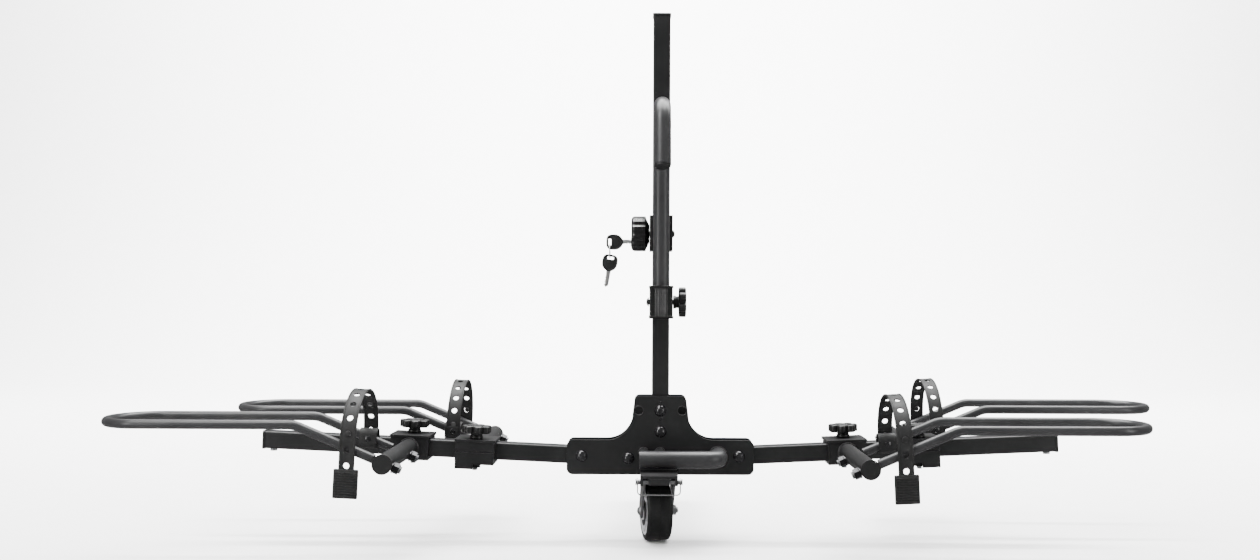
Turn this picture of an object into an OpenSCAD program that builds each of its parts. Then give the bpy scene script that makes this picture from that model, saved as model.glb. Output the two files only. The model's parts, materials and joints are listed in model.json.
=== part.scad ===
// Hitch mounted rack for two bikes, with sliding wheel hoops and J-hooks.
// Millimetres, +Z up, +X to the right seen from behind the vehicle, +Y towards the vehicle.
// The origin is the centre of the hitch pin hole in the tongue.

/* [Frame tubes] */
// Side of the square tube of the arms and the mast
tube_w = 25.4; // [25:0.1:26]
// Wall of the arms and the mast
tube_wall = 2; // [1.5:0.1:3]
// Corner radius of the square tubes
tube_round = 2.4; // [1:0.1:3]
// Reach of each arm from the middle of the rack
arm_reach = 585; // [560:1:640]
// Rise of each arm, in degrees
arm_rise = 2.6; // [1:0.1:4]
// Height of the mast's lower end above the middle of the arms
mast_foot = 20; // [18:1:24]
// Height of the mast's top above the middle of the arms
mast_top = 657; // [650:1:700]

/* [Plates] */
// Thickness of the front and rear plates
plate_t = 4; // [3:0.5:5]
// Width of the plates
plate_w = 276; // [270:1:290]
// Lower edge of the plates
plate_low = -22; // [-24:0.5:-20]
// Upper edge of the plates' wings
plate_wing = 29; // [27:0.5:31]
// Upper edge of the plates' middle block
plate_top = 94; // [92:0.5:98]
// Radius of the hollow shoulders
shoulder_r = 38; // [36:0.5:40]

/* [Hitch tongue] */
// Side of the square tongue
tongue_w = 50.8; // [50:0.1:51]
// Wall of the tongue
tongue_wall = 5; // [3:0.5:6]
// Length of the tongue behind the rear plate
tongue_l = 310; // [300:1:330]
// Radius of the hitch pin hole
pin_r = 8.2; // [8:0.1:8.5]
// Distance from the pin hole to the tongue's end
pin_to_end = 63.5; // [55:0.5:70]

/* [Wheel hoops] */
// Distance of the near left carrier tube from the middle, along the arm
near_left_at = 370; // [365:1:380]
// Distance of the near right carrier tube from the middle, along the arm
near_right_at = 276; // [270:1:280]
// Distance of the far left carrier tube from the middle, along the arm
far_left_at = 271.5; // [268:0.5:276]
// Distance of the far right carrier tube from the middle, along the arm
far_right_at = 380; // [376:1:386]
// Diameter of the hoop rod
rod_d = 13; // [12.6:0.1:13.2]
// Distance between the hoop's two legs
hoop_w = 114; // [112:1:116]
// Distance of the hoop's middle plane from the arm
hoop_y = 124; // [122:1:126]
// Length of the hoop's rising stretch
hoop_rise_l = 131; // [126:1:136]
// Slope of the hoop's rising stretch above level, in degrees
hoop_slope = 22.9; // [20:0.1:24]
// Reach of the hoop from its carrier tube to its tip
hoop_reach = 397; // [390:1:404]
// Bend radius of the hoop's rod
rod_bend = 40; // [30:1:50]
// Diameter of the carrier tube
carrier_d = 25.4; // [25:0.1:26]
// Distance of the carrier tube's outer end from the arm
carrier_end = 193; // [192:1:196]
// Width of the rubber strap
strap_w = 21; // [20:0.5:22]
// Thickness of the rubber strap
strap_t = 3; // [2.6:0.1:3.2]

/* [Bike hooks] */
// Diameter of the hook's round tube
hook_d = 24; // [23.6:0.1:24.2]
// Distance of the hook's shank from the mast's middle
hook_y = 35; // [34.8:0.1:36]
// Distance from the shank to the hook's tip stretch
hook_gap = 80; // [78:1:90]
// Outward slope of the hook's tip, in degrees
hook_flare = 14; // [8:1:16]
// Height of the near hook's clamp above the arms
near_clamp_z = 232.6; // [230:0.2:236]
// Height of the far hook's lock bracket above the arms
far_clamp_z = 335; // [334:0.5:345]
// Height from a hook's clamp to the top of its bend
hook_h = 292; // [280:1:294]

/* [Caster] */
// Diameter of the caster wheel
wheel_d = 85; // [80:1:85]
// Width of the caster tyre
wheel_w = 36.6; // [34:0.2:37]
// Distance of the wheel's axle behind the swivel axis
trail = 22; // [20:1:23]
// Angle at which the caster rests, in degrees
caster_turn = 9; // [0:1:12]
// Offset of the caster bracket to the left of the middle
caster_x = -2.7; // [-4:0.1:0]

/* [Hidden] */

$fn = 48;
eps = 0.01;
slip = 0.3;
steel = "#26262a";
satin = "#2e2e32";
plastic = "#18181a";
zinc = "#b4b6b8";
rubber = "#1c1c1d";

// Where the middle of the arms lies, seen from the pin hole
half = tube_w / 2;
rack_y = -(half + plate_t + tongue_l - pin_to_end);
rack_z = -3.5;
plate_face = half + plate_t;

// Fasteners
bolt_r = 4;
bolt_hole_r = 4.3;
thread_clear = 0.05;
head_r = 8.75;
head_h = 5.5;
nut_af = 13;
nut_h = 7;
washer_r = 8;
washer_t = 1.6;
arm_bolts = [47, 116];
mast_bolts = [41.4, 72.4];
corner_hole = [32, 72.5];
corner_hole_r = 6.5;

// Clamp that slides on an arm: local x runs out along the arm, local y towards its carrier tube
clamp_w = 56;
clamp_bore = half + slip;
clamp_front = 18;
clamp_back = -35;
clamp_low = -18;
clamp_cover = 14.8;
cover_t = 3.5;
cover_over = 1.5;
clamp_slit = 0.8;
carrier_floor = 6;
stud_y = -18.5;
stud_nut_h = 6;
stud_tail = 4;
knob_gap = 8;
knob_r = 22;
knob_t = 11;
knob_stem_r = 9.7;
tab = [26, 3, 7];

// Hoop and strap, in the same local frame
leg_in = hoop_y - hoop_w / 2;
leg_out = hoop_y + hoop_w / 2;
leg_tilt = hoop_slope - arm_rise;
thread_l = 24;
thread_r = 5;
shoulder = carrier_d / 2 + 1.9;
bend_cut = rod_bend * tan(hoop_slope / 2);
flat_l = hoop_reach - hoop_rise_l * cos(hoop_slope) - hoop_w / 2 - rod_d / 2 - bend_cut;
cap_r = carrier_d / 2 + 0.8;
cap_t = 2;
cap_plug = 5.5;
strap_x = 47.5;
strap_rise = strap_x * tan(leg_tilt);
arch_r = hoop_w / 2 + rod_d / 2 + 0.5 + strap_t;
arch_z = 26;
buckle = [33, 6, 39];
buckle_top = -9;

// Hook, in a local frame whose y runs away from the mast and z is up from its clamp
bend_r = hook_gap / 2;
bend_z = hook_h - hook_d / 2 - bend_r;
tip_l = 62;
hook_bolt_y = 17.9;
near_block = [35.5, 47.8];
far_block = [34, 51.5];
block_back = -17;
block_front = hook_y + hook_d / 2 + 3;
lock_drop = 12.5;
lock_knob_r = 26.5;
lock_knob_w = 27;
lock_r = 6.5;
lock_well = 12;
key_t = 2.4;
ring_r = 10;

// Caster: heights are above the middle of the arms
king_y = -47;
web_z = -10;
web_t = 4;
ear_z = -24;
bracket_w = 53;
bracket_front = -108;
pin_y = -103;
pin_z = -19;
lock_pin_r = 3.5;
pin_clear = 0.15;
king_r = 5;
fork_z = -24.5;
fork_t = 3;
wheel_z = -73;
fork_gap = wheel_w / 2 + 2.2;
rim_r = wheel_d / 2 - 8;
bail_wire = 0.9;
bail_w = 60;
bail_low = -37.3;
handle_r = 12.7;
handle_y = -60;
handle_z = 6;
handle_left = -30.5;
handle_right = 85.3;
handle_bend = 20;

// ---------- Helpers ----------

// Moves its children from the middle of the arms to the row frame
module rack() {
    translate([0, rack_y, rack_z]) children();
}

// Square with round corners
module round_square(w, r) {
    square([w - 2 * r, w], center = true);
    square([w, w - 2 * r], center = true);
    for (x = [-1, 1], y = [-1, 1])
        translate([x * (w / 2 - r), y * (w / 2 - r)]) circle(r = r);
}

// Rectangle with round corners, from its lower left corner to its upper right one
module round_rect(x0, y0, x1, y1, r) {
    translate([x0 + r, y0]) square([x1 - x0 - 2 * r, y1 - y0]);
    translate([x0, y0 + r]) square([x1 - x0, y1 - y0 - 2 * r]);
    for (x = [x0 + r, x1 - r], y = [y0 + r, y1 - r])
        translate([x, y]) circle(r = r);
}

// Hollow square tube along +Z
module square_tube(w, wall, l, r) {
    linear_extrude(l) difference() {
        round_square(w, r);
        square(w - 2 * wall, center = true);
    }
}

// Cylinder along +X, from x to x + l
module x_rod(x, r, l) {
    translate([x, 0, 0]) rotate([0, 90, 0]) cylinder(r = r, h = l);
}

// Cylinder along +Y, from y to y + l
module y_rod(y, r, l) {
    translate([0, y, 0]) rotate([-90, 0, 0]) cylinder(r = r, h = l);
}

// Domed bolt head on a shank that runs down to z = -l
module dome_bolt(l, r = head_r, h = head_h) {
    ball = (r * r + h * h) / (2 * h);
    intersection() {
        translate([0, 0, h - ball]) sphere(r = ball);
        cylinder(r = r, h = h);
    }
    translate([0, 0, -l]) cylinder(r = bolt_r, h = l + eps);
}

// Hexagon nut with its hole, from z = 0 up
module hex_nut(hole_r, h = nut_h) {
    difference() {
        cylinder(r = nut_af / sqrt(3), h = h, $fn = 6);
        translate([0, 0, -1]) cylinder(r = hole_r, h = h + 2);
    }
}

// Knob with round lobes, on a stem, from z = 0 up
module star_knob(lobes = 6) {
    lobe_r = 6.4;
    core_r = 15.5;
    cylinder(r = knob_stem_r, h = knob_gap + 1);
    translate([0, 0, knob_gap]) linear_extrude(knob_t) {
        circle(r = core_r);
        for (i = [0 : lobes - 1])
            rotate(i * 360 / lobes) translate([knob_r - lobe_r, 0]) circle(r = lobe_r);
    }
}

// Blind hole for a bolt in a knob that rests on z = 0
module knob_hole() {
    depth = 15.5;
    translate([0, 0, -1]) cylinder(r = bolt_r + thread_clear, h = depth + 1);
}

function unit(v) = v / norm(v);
function tangents(p) = [for (i = [0 : len(p) - 1])
    unit((i < len(p) - 1 ? unit(p[i + 1] - p[i]) : [0, 0, 0]) +
        (i > 0 ? unit(p[i] - p[i - 1]) : [0, 0, 0]))];
function normals(t, n, i = 0, done = []) = i == len(t) ? done :
    let (m = unit(n - (n * t[i]) * t[i])) normals(t, m, i + 1, concat(done, [m]));

// Round rod swept along the points p, with a radius for each point; n is square to its start
module swept_rod(p, r, n, sides) {
    t = tangents(p);
    m = normals(t, n);
    last = len(p) - 1;
    polyhedron(
        points = [for (i = [0 : last], j = [0 : sides - 1]) let (a = j * 360 / sides)
            p[i] + r[i] * (cos(a) * m[i] + sin(a) * cross(t[i], m[i]))],
        faces = concat(
            [[for (j = [0 : sides - 1]) j]],
            [[for (j = [sides - 1 : -1 : 0]) last * sides + j]],
            [for (i = [0 : last - 1], j = [0 : sides - 1], k = [0, 1])
                let (a = i * sides + j, b = i * sides + (j + 1) % sides)
                k == 0 ? [a, a + sides, b + sides] : [a, b + sides, b]]),
        convexity = 6);
}

// Round tube swept along the points p, open at both ends
module swept_tube(p, r, wall, n, sides) {
    last = len(p) - 1;
    inner = concat([p[0] - unit(p[1] - p[0])], [for (i = [1 : last - 1]) p[i]],
        [p[last] + unit(p[last] - p[last - 1])]);
    difference() {
        swept_rod(p, even(p, r), n, sides);
        swept_rod(inner, even(inner, r - wall), n, sides);
    }
}

// Same radius at each point of a path
function even(p, r) = [for (q = p) r];

// Points of an arc about c that starts in direction a from it and turns towards direction b
function arc(c, a, b, r, sweep, steps) =
    [for (i = [0 : steps]) c + r * (cos(i * sweep / steps) * a + sin(i * sweep / steps) * b)];

// Puts a hoop carriage's local frame on an arm: side is -1 left or 1 right, row is -1 near or 1 far
module on_arm(side, row, at) {
    rack() mirror([side < 0 ? 1 : 0, 0, 0]) mirror([0, row < 0 ? 1 : 0, 0])
        rotate([0, -arm_rise, 0]) translate([at / cos(arm_rise), 0, 0]) children();
}

// Puts a hook's local frame on the mast
module on_mast(row, z) {
    rack() translate([0, 0, z]) mirror([0, row < 0 ? 1 : 0, 0]) children();
}

// ---------- Frame ----------

module plate_outline() {
    top_r = 8;
    wing_r = 9;
    top_half = 38.5;
    neck_half = 41;
    centre_x = neck_half + shoulder_r;
    centre_z = plate_wing + shoulder_r;
    round_rect(-plate_w / 2, plate_low, plate_w / 2, plate_wing, wing_r);
    difference() {
        translate([-centre_x, 0]) square([2 * centre_x, centre_z]);
        for (s = [-1, 1]) translate([s * centre_x, centre_z]) circle(r = shoulder_r, $fn = 96);
    }
    polygon([[-neck_half, centre_z - eps], [neck_half, centre_z - eps],
        [top_half, plate_top - top_r], [-top_half, plate_top - top_r]]);
    round_rect(-top_half, centre_z, top_half, plate_top, top_r);
}

// A plate with its bolt holes, its face at y = 0 and its back at y = plate_t
module drilled_plate(corner_holes) {
    difference() {
        translate([0, plate_t, 0]) rotate([90, 0, 0]) linear_extrude(plate_t) plate_outline();
        for (s = [-1, 1], x = arm_bolts)
            translate([s * x, 0, x * tan(arm_rise)]) y_rod(-1, bolt_hole_r, plate_t + 2);
        for (z = mast_bolts) translate([0, 0, z]) y_rod(-1, bolt_hole_r, plate_t + 2);
        if (corner_holes)
            for (s = [-1, 1])
                translate([s * corner_hole[0], 0, corner_hole[1]])
                    y_rod(-1, corner_hole_r, plate_t + 2);
    }
}

module front_plate() {
    color(steel) rack() translate([0, -plate_face, 0]) drilled_plate(true);
}

module rear_plate() {
    color(steel) rack() translate([0, half, 0]) drilled_plate(false);
}

module hitch_tongue() {
    start = rack_y + plate_face;
    color(steel) difference() {
        translate([0, start, 0]) rotate([-90, 0, 0])
            square_tube(tongue_w, tongue_wall, tongue_l, tongue_wall);
        x_rod(-tongue_w, pin_r, 2 * tongue_w);
    }
}

// One arm along local +X, with its two bolt holes
module arm() {
    start = 14;
    rotate([0, -arm_rise, 0]) difference() {
        translate([start, 0, 0]) rotate([90, 0, 90])
            square_tube(tube_w, tube_wall, arm_reach / cos(arm_rise) - start, tube_round);
        for (x = arm_bolts)
            translate([x / cos(arm_rise), 0, 0]) y_rod(-tube_w, bolt_hole_r, 2 * tube_w);
        translate([stop_x(), 0, -tube_w]) cylinder(r = stop_r() + thread_clear, h = tube_w);
    }
}

function stop_x() = arm_reach - 10;
function stop_r() = 3;

module left_arm() {
    color(steel) rack() mirror([1, 0, 0]) arm();
}

module right_arm() {
    color(steel) rack() arm();
}

// Plastic cap for a square tube: a lip from z = 0 up, and a plug below it
module tube_cap() {
    lip = 0.9;
    lip_t = 3;
    plug = 6;
    play = 0.2;
    linear_extrude(lip_t) round_square(tube_w + 2 * lip, tube_round + lip);
    translate([0, 0, -plug]) linear_extrude(plug + eps)
        square(tube_w - 2 * (tube_wall + play), center = true);
}

module tube_caps() {
    color(plastic) rack() {
        for (s = [-1, 1])
            mirror([s < 0 ? 1 : 0, 0, 0]) rotate([0, -arm_rise, 0])
                translate([arm_reach / cos(arm_rise), 0, 0]) rotate([0, 90, 0]) tube_cap();
        translate([0, 0, mast_top]) tube_cap();
    }
}

module arm_stop_screws() {
    screw_head = [5, 4];
    screw_l = 6;
    color(zinc) rack() for (s = [-1, 1])
        mirror([s < 0 ? 1 : 0, 0, 0]) rotate([0, -arm_rise, 0])
            translate([stop_x(), 0, -half]) {
                translate([0, 0, -screw_head[1]]) cylinder(r = screw_head[0], h = screw_head[1]);
                translate([0, 0, -eps]) cylinder(r = stop_r(), h = screw_l);
            }
}

module mast() {
    color(steel) rack() difference() {
        translate([0, 0, mast_foot])
            square_tube(tube_w, tube_wall, mast_top - mast_foot, tube_round);
        for (z = mast_bolts) translate([0, 0, z]) y_rod(-tube_w, bolt_hole_r, 2 * tube_w);
    }
}

function bolt_places() = concat(
    [for (s = [-1, 1], x = arm_bolts) [s * x, x * tan(arm_rise)]],
    [for (z = mast_bolts) [0, z]]);

module plate_bolts() {
    tail = 2;
    reach = 2 * plate_face + nut_h + washer_t + tail;
    color(steel) rack() for (p = bolt_places())
        translate([p[0], -plate_face, p[1]]) rotate([90, 0, 0]) dome_bolt(reach);
}

module plate_nuts() {
    color(zinc) rack() for (p = bolt_places())
        translate([p[0], plate_face, p[1]]) rotate([-90, 0, 0]) {
            difference() {
                cylinder(r = washer_r, h = washer_t);
                translate([0, 0, -1]) cylinder(r = bolt_r + thread_clear, h = washer_t + 2);
            }
            translate([0, 0, washer_t]) hex_nut(bolt_r + thread_clear);
        }
}

// ---------- Pull handle ----------

module pull_handle() {
    post_r = 6;
    post_z = 5;
    post_in = handle_r - 2;
    posts = [6, 30];
    centre = [handle_right - handle_bend, handle_bend, 0];
    path = concat([[handle_left, 0, 0]],
        arc(centre, [0, -1, 0], [1, 0, 0], handle_bend, 90, 10),
        [[handle_right, -plate_face - handle_y, 0]]);
    color(satin) rack() translate([0, handle_y, handle_z]) {
        swept_tube(path, handle_r, tube_wall, [0, 0, 1], 32);
        for (x = posts)
            translate([handle_left + x, 0, post_z])
                y_rod(post_in, post_r, -plate_face - handle_y - post_in);
    }
}

// ---------- Caster ----------

// Local frame on the swivel axis, at the height of the middle of the arms
module at_king() {
    rack() translate([caster_x, king_y, 0]) children();
}

module caster_bracket() {
    front = bracket_front - king_y;
    depth = -plate_face - bracket_front;
    ear_t = 4;
    inner = bracket_w / 2 - ear_t;
    color(steel) at_king() difference() {
        union() {
            translate([-bracket_w / 2, front, web_z - web_t]) cube([bracket_w, depth, web_t]);
            for (s = [-1, 1])
                translate([s > 0 ? inner : -bracket_w / 2, front, ear_z])
                    cube([ear_t, depth, web_z - ear_z - eps]);
        }
        translate([0, pin_y - king_y, pin_z])
            x_rod(-bracket_w, lock_pin_r + pin_clear, 2 * bracket_w);
    }
}

// Plate that the caster turns on, with its bearing race and the clip block for the lock pin
module caster_plate() {
    w = 44;
    front = -30;
    back = 29.5;
    plate_h = 3;
    race_r = 19;
    neck_w = 12;
    block = [30, 12, 9];
    king_tail = 1.6;
    king_root = 2.4;
    top = web_z - web_t;
    color(zinc) at_king() {
        translate([-w / 2, front, top - plate_h]) cube([w, back - front, plate_h]);
        translate([0, 0, fork_z + slip])
            cylinder(r = race_r, h = top - plate_h - fork_z - slip + eps);
        translate([0, 0, fork_z - fork_t - king_tail])
            cylinder(r = king_r, h = king_tail + fork_t + king_root);
        difference() {
            translate([-block[0] / 2, pin_y - king_y - block[1] / 2, top - block[2]]) cube(block);
            translate([0, pin_y - king_y, pin_z]) x_rod(-w, lock_pin_r + pin_clear, 2 * w);
        }
        translate([-neck_w / 2, pin_y - king_y + block[1] / 2 - 1, top - plate_h])
            cube([neck_w, front - pin_y + king_y - block[1] / 2 + 1 + eps, plate_h]);
    }
}

module lock_pin() {
    collar_r = 4.4;
    collar_t = 1.5;
    reach = bail_w / 2 + 1.5;
    color(zinc) at_king() translate([0, pin_y - king_y, pin_z]) {
        x_rod(-reach, lock_pin_r, 2 * reach);
        x_rod(-reach - collar_t, collar_r, collar_t);
        x_rod(reach, collar_r, collar_t);
    }
}

// Square wire bail that hangs from the lock pin's two ends
module lock_pin_bail() {
    eye_r = lock_pin_r + thread_clear;
    eye_w = 1.8;
    eye_rim = 1.8;
    bend = 5;
    low = bail_low - pin_z;
    x = bail_w / 2 - bend;
    start = -lock_pin_r - 1;
    path = concat([[-x - bend, 0, start]],
        arc([-x, 0, low + bend], [-1, 0, 0], [0, 0, -1], bend, 90, 5),
        arc([x, 0, low + bend], [0, 0, -1], [1, 0, 0], bend, 90, 5),
        [[x + bend, 0, start]]);
    color(zinc) at_king() translate([0, pin_y - king_y, pin_z]) {
        for (s = [-1, 1]) difference() {
            x_rod(s * bail_w / 2 - eye_w / 2, lock_pin_r + eye_rim, eye_w);
            x_rod(s * bail_w / 2 - eye_w, eye_r, 2 * eye_w);
        }
        swept_rod(path, even(path, bail_wire), [0, 1, 0], 10);
    }
}

// Local frame of the swivelled fork: y runs back to the axle
module at_fork() {
    at_king() rotate([0, 0, caster_turn]) children();
}

module caster_fork() {
    front = -13;
    back = trail - 6;
    boss_r = 11;
    cheek = [boss_r - 1, 4];
    color(zinc) at_fork() difference() {
        union() {
            translate([-fork_gap - fork_t, front, fork_z - fork_t])
                cube([2 * (fork_gap + fork_t), back - front, fork_t]);
            for (s = [-1, 1]) translate([s > 0 ? fork_gap : -fork_gap - fork_t, 0, 0])
                rotate([90, 0, 90]) linear_extrude(fork_t) {
                    polygon([[front, fork_z - eps], [back, fork_z - eps],
                        [trail + cheek[0], wheel_z + cheek[1]],
                        [trail - cheek[0], wheel_z - cheek[1]]]);
                    translate([trail, wheel_z]) circle(r = boss_r);
                }
        }
        translate([0, trail, wheel_z]) x_rod(-wheel_w, bolt_hole_r, 2 * wheel_w);
        translate([0, 0, fork_z - fork_t - 1])
            cylinder(r = king_r + thread_clear, h = fork_t + 2);
    }
}

module caster_axle() {
    outer = fork_gap + fork_t;
    axle_head = [7, 4.5];
    axle_nut_h = 6;
    tail = 3;
    color(zinc) at_fork() translate([0, trail, wheel_z]) {
        x_rod(-outer - 1, bolt_r, 2 * outer + 1 + axle_nut_h + tail);
        rotate([0, -90, 0]) translate([0, 0, outer]) dome_bolt(1, axle_head[0], axle_head[1]);
        translate([outer, 0, 0]) rotate([0, 90, 0]) hex_nut(bolt_r - eps, axle_nut_h);
    }
}

// Grey wheel core with its bore, web and rim
module caster_hub() {
    hub_r = 13;
    hub_w = wheel_w + 3.2;
    disc_w = 10;
    rim_w = wheel_w - 1.2;
    rim_t = 4;
    color("#b9bbbd") at_fork() translate([0, trail, wheel_z]) rotate([0, 90, 0]) difference() {
        union() {
            cylinder(r = hub_r, h = hub_w, center = true);
            cylinder(r = rim_r, h = disc_w, center = true);
            difference() {
                cylinder(r = rim_r, h = rim_w, center = true);
                cylinder(r = rim_r - rim_t, h = 2 * wheel_w, center = true);
            }
        }
        translate([0, 0, -wheel_w]) cylinder(r = bolt_r + thread_clear, h = 2 * wheel_w);
    }
}

module caster_tyre() {
    crown = 3;
    color(rubber) at_fork() translate([0, trail, wheel_z]) rotate([0, 90, 0])
        rotate_extrude($fn = 96)
            round_rect(rim_r, -wheel_w / 2, wheel_d / 2, wheel_w / 2, crown);
}

// ---------- Hoop carriages ----------

// Split clamp on the arm, with its cover plate and welded carrier tube
module carriage_clamp() {
    over = clamp_w / 2 + cover_over;
    difference() {
        union() {
            translate([-clamp_w / 2, clamp_back, clamp_low])
                cube([clamp_w, clamp_front - clamp_back, clamp_cover - clamp_low]);
            translate([-over, clamp_back - cover_over, clamp_cover - eps])
                cube([2 * over, clamp_front - clamp_back + 2 * cover_over, cover_t]);
            translate([clamp_w / 2 - tab[0], clamp_back, clamp_low - tab[2]])
                cube([tab[0], tab[1], tab[2] + eps]);
            y_rod(clamp_front - eps, carrier_d / 2, carrier_end - clamp_front);
        }
        translate([-clamp_w, -clamp_bore, -clamp_bore])
            cube([2 * clamp_w, 2 * clamp_bore, 2 * clamp_bore]);
        translate([-clamp_w, clamp_back - 1, -clamp_slit / 2])
            cube([2 * clamp_w, -clamp_back - clamp_bore + 1 + eps, clamp_slit]);
        y_rod(clamp_front + carrier_floor, carrier_d / 2 - tube_wall, carrier_end);
        for (y = [leg_in, leg_out])
            translate([0, y, 0]) rotate([0, -leg_tilt, 0])
                x_rod(-carrier_d, thread_r + pin_clear, 2 * carrier_d);
        translate([0, stud_y, -tube_w]) cylinder(r = bolt_hole_r, h = 2 * tube_w);
    }
}

// Points of the inner leg, from its threaded end to the start of the hoop's round tip
function leg_path() =
    let (u = [cos(leg_tilt), 0, sin(leg_tilt)], down = [sin(leg_tilt), 0, -cos(leg_tilt)])
    let (v = [cos(arm_rise), 0, -sin(arm_rise)], o = [0, leg_in, 0])
    let (bend = o + (hoop_rise_l - bend_cut) * u)
    concat([o - thread_l * u, o + (shoulder - eps) * u, o + shoulder * u],
        arc(bend + rod_bend * down, -down, u, rod_bend, hoop_slope, 6),
        [o + hoop_rise_l * u + (bend_cut + flat_l) * v]);

module hoop() {
    leg = leg_path();
    count = len(leg);
    v = [cos(arm_rise), 0, -sin(arm_rise)];
    centre = leg[count - 1] + [0, hoop_w / 2, 0];
    steps = 24;
    tip = arc(centre, [0, -1, 0], v, hoop_w / 2, 180, steps);
    back = [for (i = [count - 1 : -1 : 0]) leg[i] + [0, hoop_w, 0]];
    path = concat(leg, [for (i = [1 : steps - 1]) tip[i]], back);
    radii = [for (i = [0 : len(path) - 1])
        min(i, len(path) - 1 - i) < 2 ? thread_r : rod_d / 2];
    swept_rod(path, radii, [0, 1, 0], 20);
}

module carriage_cap() {
    translate([0, carrier_end, 0]) {
        y_rod(0, cap_r, cap_t);
        y_rod(-cap_plug, carrier_d / 2 - tube_wall - pin_clear, cap_plug + eps);
    }
}

// Washers and nuts on the hoop's threaded ends, and the nut under the clamp's stud
module carriage_nuts() {
    seat = carrier_d / 2 + 0.2;
    hole_r = thread_r + thread_clear;
    for (y = [leg_in, leg_out]) translate([0, y, 0]) rotate([0, -90 - leg_tilt, 0]) {
        difference() {
            translate([0, 0, seat]) cylinder(r = washer_r, h = washer_t);
            cylinder(r = hole_r, h = thread_l);
        }
        translate([0, 0, seat + washer_t]) hex_nut(hole_r);
    }
    translate([0, stud_y, clamp_low - stud_nut_h]) hex_nut(bolt_r + thread_clear, stud_nut_h);
}

// Rubber strap: an arch over the wheel, held on the inner leg, with its tail outside the outer leg
module strap() {
    ring_half = strap_t + rod_d / 2 + 0.5;
    slot_z = 4.6;
    lap = 5;
    translate([strap_x - strap_w / 2, 0, 0]) rotate([90, 0, 90]) linear_extrude(strap_w) {
        intersection() {
            translate([hoop_y, arch_z]) difference() {
                circle(r = arch_r, $fn = 96);
                circle(r = arch_r - strap_t, $fn = 96);
            }
            translate([0, arch_z]) square([2 * hoop_y, 2 * arch_r]);
        }
        translate([hoop_y + arch_r - strap_t, buckle_top - lap])
            square([strap_t, arch_z - buckle_top + lap]);
        translate([hoop_y - arch_r, strap_rise]) square([strap_t, arch_z - strap_rise]);
        difference() {
            stadium(ring_half, slot_z);
            stadium(ring_half - strap_t, slot_z);
        }
    }
    translate([strap_x - buckle[0] / 2, hoop_y + arch_r - strap_t - 1, buckle_top - buckle[2]])
        cube(buckle);
}

// Upright stadium around the inner leg, in the strap's plane
module stadium(r, z) {
    translate([leg_in, strap_rise]) {
        for (s = [-1, 1]) translate([0, s * z]) circle(r = r);
        square([2 * r, 2 * z], center = true);
    }
}

// Knob on the clamp's stud, which passes the slit and runs in the nut below
module carriage_knob() {
    seat = clamp_cover + cover_t + slip;
    translate([0, stud_y, 0]) {
        translate([0, 0, clamp_low - stud_nut_h - stud_tail])
            cylinder(r = bolt_r, h = seat - clamp_low + stud_nut_h + stud_tail + eps);
        translate([0, 0, seat]) star_knob(7);
    }
}

module near_left_clamp() { color(steel) on_arm(-1, -1, near_left_at) carriage_clamp(); }
module near_left_hoop() { color(satin) on_arm(-1, -1, near_left_at) hoop(); }
module near_left_cap() { color(plastic) on_arm(-1, -1, near_left_at) carriage_cap(); }
module near_left_nuts() { color(zinc) on_arm(-1, -1, near_left_at) carriage_nuts(); }
module near_left_strap() { color(rubber) on_arm(-1, -1, near_left_at) strap(); }
module near_left_knob() { color(plastic) on_arm(-1, -1, near_left_at) carriage_knob(); }

module near_right_clamp() { color(steel) on_arm(1, -1, near_right_at) carriage_clamp(); }
module near_right_hoop() { color(satin) on_arm(1, -1, near_right_at) hoop(); }
module near_right_cap() { color(plastic) on_arm(1, -1, near_right_at) carriage_cap(); }
module near_right_nuts() { color(zinc) on_arm(1, -1, near_right_at) carriage_nuts(); }
module near_right_strap() { color(rubber) on_arm(1, -1, near_right_at) strap(); }
module near_right_knob() { color(plastic) on_arm(1, -1, near_right_at) carriage_knob(); }

module far_left_clamp() { color(steel) on_arm(-1, 1, far_left_at) carriage_clamp(); }
module far_left_hoop() { color(satin) on_arm(-1, 1, far_left_at) hoop(); }
module far_left_cap() { color(plastic) on_arm(-1, 1, far_left_at) carriage_cap(); }
module far_left_nuts() { color(zinc) on_arm(-1, 1, far_left_at) carriage_nuts(); }
module far_left_strap() { color(rubber) on_arm(-1, 1, far_left_at) strap(); }
module far_left_knob() { color(plastic) on_arm(-1, 1, far_left_at) carriage_knob(); }

module far_right_clamp() { color(steel) on_arm(1, 1, far_right_at) carriage_clamp(); }
module far_right_hoop() { color(satin) on_arm(1, 1, far_right_at) hoop(); }
module far_right_cap() { color(plastic) on_arm(1, 1, far_right_at) carriage_cap(); }
module far_right_nuts() { color(zinc) on_arm(1, 1, far_right_at) carriage_nuts(); }
module far_right_strap() { color(rubber) on_arm(1, 1, far_right_at) strap(); }
module far_right_knob() { color(plastic) on_arm(1, 1, far_right_at) carriage_knob(); }

// ---------- Bike hooks ----------

// Points of the J-hook: shank, half-round bend and flared tip
function hook_path(block_h) =
    let (c = [0, hook_y + bend_r, bend_z], steps = 18)
    let (bend = arc(c, [0, -1, 0], [0, 0, 1], bend_r, 180 - hook_flare, steps))
    concat([[0, hook_y, -block_h / 2]], bend, [bend[steps] + tip_l * tip_way()]);
function tip_way() = [0, sin(hook_flare), -cos(hook_flare)];

module hook(block_h) {
    path = hook_path(block_h);
    swept_tube(path, hook_d / 2, tube_wall, [1, 0, 0], 24);
}

// Plug in the end of the hook's tip
module hook_plug() {
    path = hook_path(0);
    rim_h = 2.5;
    dome_h = 2;
    plug_r = hook_d / 2 - 0.8;
    top_r = hook_d / 2 - 3;
    translate(path[len(path) - 1]) rotate([180 + hook_flare, 0, 0]) {
        cylinder(r = plug_r, h = rim_h);
        translate([0, 0, rim_h - eps]) cylinder(r1 = plug_r, r2 = top_r, h = dome_h);
    }
}

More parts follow.
